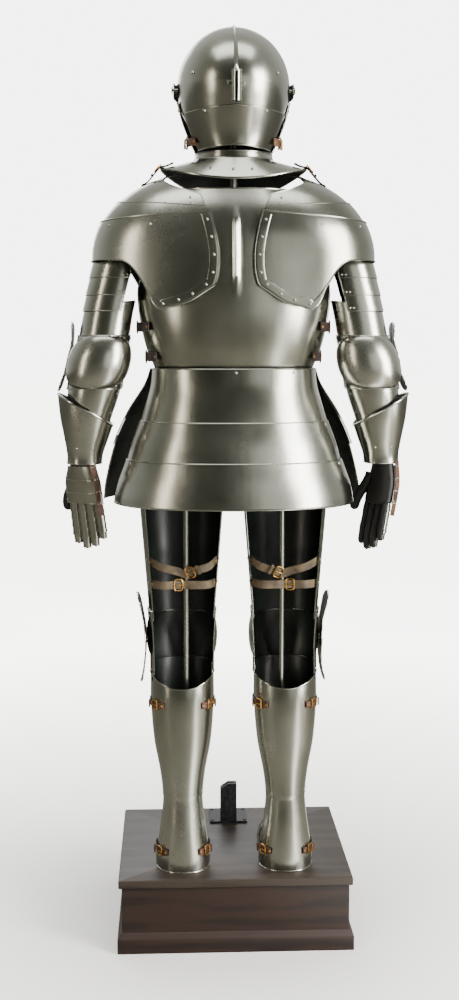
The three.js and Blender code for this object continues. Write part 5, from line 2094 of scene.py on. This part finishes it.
@dataclass
class LegDefence:
    """One leg: thigh plate, knee, two greave halves, foot and all its straps."""

    name: str
    side: int

    def knee(self, angle: Array, z: Array) -> Array:
        """Knee boss: a low dome in front of the knee."""
        away = np.minimum(1.0, np.hypot((z - KNEE_Z) / 66, (angle + 90) / 95))
        return LAP + 14 * np.sqrt(1 - away * away)

    def foot_point(self, first: float, last: float, lift: float) -> Surface:
        """Arched lame over the foot between two distances from the ankle.

        Args:
            first: Distance where it starts.
            last: Distance where it ends.
            lift: Distance moved outward.

        Returns:
            The lame as a function of u and v.
        """

        def point(u: Array, v: Array) -> Array:
            """Half round section that lowers and narrows to the toe.

            Args:
                u: Values of u, from 0 to 1.
                v: Values of v, from 0 to 1.

            Returns:
                Points of the outer face.
            """
            y = mix(first, last, v)
            a = u * math.pi
            half = FOOT.column("half", -y) + lift
            high = FOOT.column("high", -y) + lift
            x = LEG_X + half * np.cos(a)
            return stack(self.side * x, y, PLINTH_TOP + 0.5 + high * np.sin(a) ** 0.8)

        return point

    def sabaton(self) -> list[Patch]:
        """Seven overlapping lames from the ankle to the toe cap.

        Returns:
            The parts of its mesh.
        """
        cuts = np.array([27, -10, -38, -64, -90, -116, -142, -192], float)
        last = len(cuts) - 2

        def heart(p: Array) -> Array:
            """Point on the sole."""
            y = np.maximum(p[..., 1], -150.0)
            return stack(self.side * LEG_X, y, PLINTH_TOP)

        parts = []
        t = np.linspace(0, 1, 48)
        for k in range(last + 1):
            lap, free = (4, 1.0) if k < last else (0, 0.0)
            point = self.foot_point(cuts[k], cuts[k + 1] - lap, 0.9 if k % 2 else -0.7)
            edge = point(t, np.full_like(t, free))
            parts.append(shell(point, 40, 10, heart))
            parts.append(sweep(edge, UPRIGHT + unit(edge - heart(edge)), circle(0.8)))
        return parts

    def greave_straps(self) -> list[Patch]:
        """Short straps across the gaps between the greave's halves.

        Returns:
            The parts of its mesh.
        """
        parts = []
        for z in (523.0, 205.0):
            for first, last in ((56, -20), (124, 200)):
                path = smooth_path(LEG.point(np.linspace(first, last, 7), z, 4.6, self.side), 48)
                heart = np.array([self.side * LEG_X, float(LEG.column("y", z)), z])
                parts += Strap(path, heart, width=14.0, buckle=0.26).build()
        return parts

    def build(self, shop: Workshop) -> None:
        """Makes every plate and strap of the leg.

        Args:
            shop: Workshop that makes the pieces.
        """
        s, name = self.side, self.name
        cuisse = Plate(
            LEG, -192, 30, lambda a: 985 - 14 * np.maximum(0, np.cos(np.radians(a) - 1)), 704, side=s
        )
        heads = cuisse.rivets([(a, z) for a in (22, -184) for z in (832, 782)], 3.2, 2.0)
        shop.piece(f"cuisse_shell_{name}", [*cuisse.dressed(80, 52, 1.8, 90), heads], f"cuisse_{name}")
        knee = Plate(LEG, -192, 30, 722, 586, lift=self.knee, side=s)

        def outer(z: Array) -> Array:
            """Outer line of the leg."""
            return LEG_X + LEG.column("a", z)

        x = float(outer(KNEE_Z)) + 2
        profile = ((0, 0), (6, 0), (6, 8.6), (8.5, 8.8), (8.2, 10), (4.5, 11), (0, 11.3))
        parts = knee.dressed(80, 50, 1.6, 90) + fan_plate(s, outer, KNEE_Z, 98, -20, 52, 11, 11)
        heads = [(-155, 712), (-25.5, 712), (-143, 594), (-37, 594), (20, 712), (20, 594)]
        parts += [lathe(profile, (s * x, -4, KNEE_Z), s), knee.rivets(heads, 3.0, 1.9)]
        shop.piece(f"poleyn_shell_{name}", parts, f"poleyn_{name}")
        shin = Plate(LEG, -178, -2, 602, 241, lift=-0.6, side=s)
        shop.piece(f"greave_front_shell_{name}", shin.dressed(68, 66, 1.4, 90), f"greave_front_{name}")
        calf = Plate(
            LEG, 8, 172, lambda a: 584 - 24 * cos_sin(a)[1] ** 2, PLINTH_TOP + 0.6,
            lift=lambda a, z: 1.2 * ease((z - 318) / 3), side=s,
        )
        heads = calf.rivets([(16, 523), (164, 523), (16, 205), (164, 205), (20, 330), (160, 330)], 2.8, 1.8)
        fine = spaced(80, *[(584 - z) / 422 for z in (316, 318, 319.5, 321, 323)], near=0.003)
        parts = [*calf.dressed(72, fine, 1.6, 110), heads]
        shop.piece(f"greave_back_shell_{name}", parts, f"greave_back_{name}")
        shop.piece(f"sabaton_shell_{name}", self.sabaton(), f"sabaton_{name}")
        self.thigh_straps(shop)
        shop.piece(f"greave_straps_{name}", self.greave_straps())

    def thigh_straps(self, shop: Workshop) -> None:
        """Two straps across the open back of the thigh; the upper one sags to the post.

        Args:
            shop: Workshop that makes the pieces.
        """
        for level, z, sag, buckle in (("upper", 832.0, 26.0, 0.56), ("lower", 782.0, 0.0, 0.4)):
            t = np.array([0, 0.2, 0.4, 0.5, 0.6, 0.8, 1.0])
            angle = mix(26.0, 166.0, t)
            p = LEG.point(angle, z, -2.7 - 26.5 * cos_sin(angle)[1] ** 6, self.side)
            p[:, 2] = z - sag * (1 - np.abs(2 * t - 1))
            path = smooth_path(p, 90)
            heart = path * UPRIGHT + np.array([self.side * LEG_X, 0, 0])
            strap = Strap(path, heart, width=18, buckle=buckle, rivets=(0.02, 0.98), skin=Skin.TAN)
            key = f"{level}_{self.name}"
            shop.piece(f"thigh_leather_{key}", strap.build(), f"thigh_strap_{key}")


# The plinth and the stand


@dataclass
class Plinth:
    """Moulded wooden plinth with its iron socket and the steel stand."""

    width: float = 502.0
    depth: float = 438.0
    base: float = 508.0
    corner: float = 2.5

    def box_wall(self, profile: Sequence[tuple[float, float]], skin: Skin) -> Patch:
        """A closed block: a profile of (outset, height) carried round the plinth's rounded rectangle.

        Args:
            profile: Distances from the plinth's faces and heights, from the lowest inwards to the top.
            skin: Skin of the faces.

        Returns:
            The rings, and a middle point under and over them.
        """
        turn = np.linspace(0, math.pi / 2, 6)
        corners = ((1, 1, 0), (-1, 1, math.pi / 2), (-1, -1, math.pi), (1, -1, 3 * math.pi / 2))
        rings = []
        for outset, z in profile:
            r = self.corner
            w, d = self.width / 2 + outset - r, self.depth / 2 + outset - r
            ring = [
                stack(sx * w + r * np.cos(start + turn), sy * d + r * np.sin(start + turn), z)
                for sx, sy, start in corners
            ]
            rings.append(np.concatenate(ring))
        return tube(np.stack(rings), skin, [profile[0][1] * UPRIGHT, profile[-1][1] * UPRIGHT])

    def build(self, shop: Workshop) -> None:
        """Makes the body with its foot moulding, the top board, and dresses the iron and steel.

        Args:
            shop: Workshop that makes the pieces.
        """
        grow = (self.base - self.width) / 2
        body = [
            (grow - 0.8, 0.0), (grow, 0.8), (grow, 30.0), (grow - 0.8, 32.5), (grow - 2.6, 35.0),
            (-2.0, 38.5), (-4.2, 41.5), (-5.4, 43.2), (-7.0, 44.0), (-7.0, 144.0),
        ]
        # The case takes the darker walnut, painted shade on its sides; the top board takes the lighter
        # walnut, painted sheen.
        shop.piece("plinth_case", [self.box_wall(body, Skin.WOOD)], "plinth_body", offset_y=0.0)
        board = [(-1.2, 144.3), (0.0, 145.5), (0.0, 158.5), (-0.9, 160.9), (-3.0, 162.0)]
        shop.piece("plinth_board", [self.box_wall(board, Skin.BOARD)], "plinth_top", offset_y=0.0)
        screws = np.array([[x, y, 166.3] for y in (-195, -122) for x in (-36, 40)])
        heads = domes(screws, np.tile(UPRIGHT, (len(screws), 1)), 4.2, 2.0, Skin.IRON)
        shop.piece("bracket_screws", [heads], offset_y=0.0)
        shop.finish_node("socket_bracket", Skin.IRON)
        shop.finish_node("steel_stand", Skin.STEEL)


# The studio


def put(
    name: str, data: bpy.types.ID, place: Sequence[float], ahead: Vector | None = None
) -> bpy.types.Object:
    """Puts a new object into the scene, its -Z axis turned to a direction.

    Args:
        name: Its name.
        data: What the object shows.
        place: Its place in metres.
        ahead: Direction of its -Z axis, or none to leave it as it is.

    Returns:
        The new object.
    """
    made = bpy.data.objects.new(name, data)
    made.location = place
    if ahead is not None:
        made.rotation_mode = "QUATERNION"
        made.rotation_quaternion = ahead.to_track_quat("-Z", "Y")
    bpy.context.scene.collection.objects.link(made)
    return made


@dataclass(frozen=True)
class Lamp:
    """An area light: place, target, size and power."""

    name: str
    place: tuple[float, float, float]
    target: tuple[float, float, float]
    size: tuple[float, float]
    power: float
    tint: str = "ffffff"


@dataclass
class Studio:
    """Pale floor, soft light and the camera."""

    lens: float = 47.88
    camera: tuple[float, float, float] = (0.1326, 2.9301, 1.3071)
    yaw: float = -0.0436
    pitch: float = 0.1213
    glow: float = 6.1
    pale: float = 6.0
    # Colour that dims the floor in reflections: painted shade, so the steel mirrors a darker floor.
    reflection_shade: str = "8c8a82"
    # Strength of a floor patch that glows in reflections only: a painted reflection that lays bright streaks
    # down the greaves.
    patch: float = 5.0
    patch_turn: float = -0.66
    lamps: tuple[Lamp, ...] = (
        Lamp("key", (-2.6, 2.0, 1.8), (0, 0, 1.2), (1.2, 2.7), 270, "fffdfa"),
        Lamp("card", (-1.2, 3.4, 1.6), (0, 0, 1.1), (1.2, 2.4), 9, "fdfff8"),
        Lamp("window", (2.4, 2.2, 1.8), (0, 0, 1.2), (0.35, 2.6), 30, "fff4e4"),
        Lamp("top", (0.0, 0.9, 3.8), (0, 0.1, 1.2), (2.6, 1.0), 40),
        Lamp("front", (0.6, -3.2, 2.6), (0, 0, 1.2), (2.6, 2.2), 70),
    )

    def floor(self) -> None:
        """Wide pale floor; in reflections it is dimmer than what the camera sees, a painted shade, but for
        one patch that glows in reflections only, a painted reflection.
        """
        turn = turns(FLOOR_SIDES)
        ring = FLOOR_RADIUS * stack(np.cos(turn), np.sin(turn), 0.0)
        mesh = bpy.data.meshes.new("floor")
        mesh.from_pydata(ring.tolist(), [], [list(range(FLOOR_SIDES))])
        coat = Coat("pale_floor")
        tint = coat.ramp(((0.3, "efeeea"), (0.7, "f4f3ef")), coat.noise(1.3, 2.0))
        seen = coat.node("LightPath").outputs
        away = coat.node("VectorMath", {0: coat.coords}, operation="LENGTH").outputs["Value"]
        far = coat.spread(away, 0.5, self.glow, 0.3, 2.6)
        # Patch that glows for glossy rays only, a painted reflection, turned towards one side of the suit.
        turned = coat.node("Mapping", {"Rotation": (0.0, 0.0, self.patch_turn), "Vector": coat.coords})
        parts = coat.node("SeparateXYZ", {0: turned.outputs[0]}).outputs
        across = coat.math("ABSOLUTE", parts["X"])
        wide = coat.spread(across, self.patch, 0.0, 0.04, 0.36, interpolation_type="SMOOTHSTEP")
        patch = coat.math("MULTIPLY", wide, coat.spread(parts["Y"], 0.0, 1.0, 0.35, 0.8))
        shown = coat.math("MULTIPLY", seen["Is Glossy Ray"], patch)
        mesh.materials.append(coat.finish({
            # In reflections the floor's colour is dimmed: painted shade.
            "Base Color": coat.dimmed(seen["Is Glossy Ray"], tint, linear(self.reflection_shade)),
            "Emission Color": tint,
            # Glow for the camera grows with distance; the patch's glow, a painted reflection, shows only in
            # reflections.
            "Emission Strength": coat.math("MULTIPLY_ADD", seen["Is Camera Ray"], far, shown),
            "Roughness": 0.85,
        }))
        put("floor", mesh, (0, 0, 0))

    def light(self) -> None:
        """Area lights and a room that is dim behind the camera; it looks pale from everywhere."""
        for lamp in self.lamps:
            data = bpy.data.lights.new(lamp.name, "AREA")
            data.shape = "RECTANGLE"
            data.size, data.size_y = lamp.size
            data.energy = lamp.power
            data.color = linear(lamp.tint)[:3]
            put(lamp.name, data, lamp.place, Vector(lamp.target) - Vector(lamp.place))
        room = Tree(bpy.data.worlds.new("studio"))
        coords = room.node("TexCoord").outputs["Generated"]
        parts = room.node("SeparateXYZ", {0: coords}).outputs
        behind = room.spread(parts["Y"], 0.0, 1.0, -1.0, 1.0)
        tint = room.ramp(((0.2, "fbfbf8"), (0.55, "a4a79d"), (0.78, "5b5f54"), (1.0, "3f4239")), behind)
        walls = room.node("Background", {"Color": tint, "Strength": 0.9}).outputs[0]
        pale = room.node("Background", {"Color": linear("f9f9f8"), "Strength": self.pale}).outputs[0]
        seen = room.node("LightPath").outputs["Is Camera Ray"]
        both = room.node("MixShader", {0: seen, 1: walls, 2: pale}).outputs[0]
        room.node("OutputWorld", {"Surface": both})
        bpy.context.scene.world = room.owner

    def shoot(self) -> None:
        """Camera at the photograph's angle."""
        data = bpy.data.cameras.new("camera")
        data.lens = self.lens
        data.sensor_width = 36.0
        level = math.cos(self.pitch)
        ahead = Vector((math.sin(self.yaw) * level, -math.cos(self.yaw) * level, -math.sin(self.pitch)))
        bpy.context.scene.camera = put("camera", data, self.camera, ahead)

    def build(self) -> None:
        """Makes the whole studio."""
        self.shoot()
        self.floor()
        self.light()


def main() -> None:
    """Builds the sub-assemblies in order."""
    logging.basicConfig(level=logging.INFO, format="%(message)s")
    Studio().build()
    shop = Workshop()
    Plinth().build(shop)
    for name, side in SIDES:
        LegDefence(name, side).build(shop)
    Skirt().build(shop)
    Cuirass().build(shop)
    Gorget().build(shop)
    for name, side in SIDES:
        Pauldron(name, side).build(shop)
        ArmDefence(name, side).build(shop)
    Hand("left", 1, 60.0).build(shop)
    Hand("right", -1, -28.0).build(shop)
    Helmet().build(shop)
    log.info("%d pieces made", shop.made)


if __name__ == "__main__":
    main()
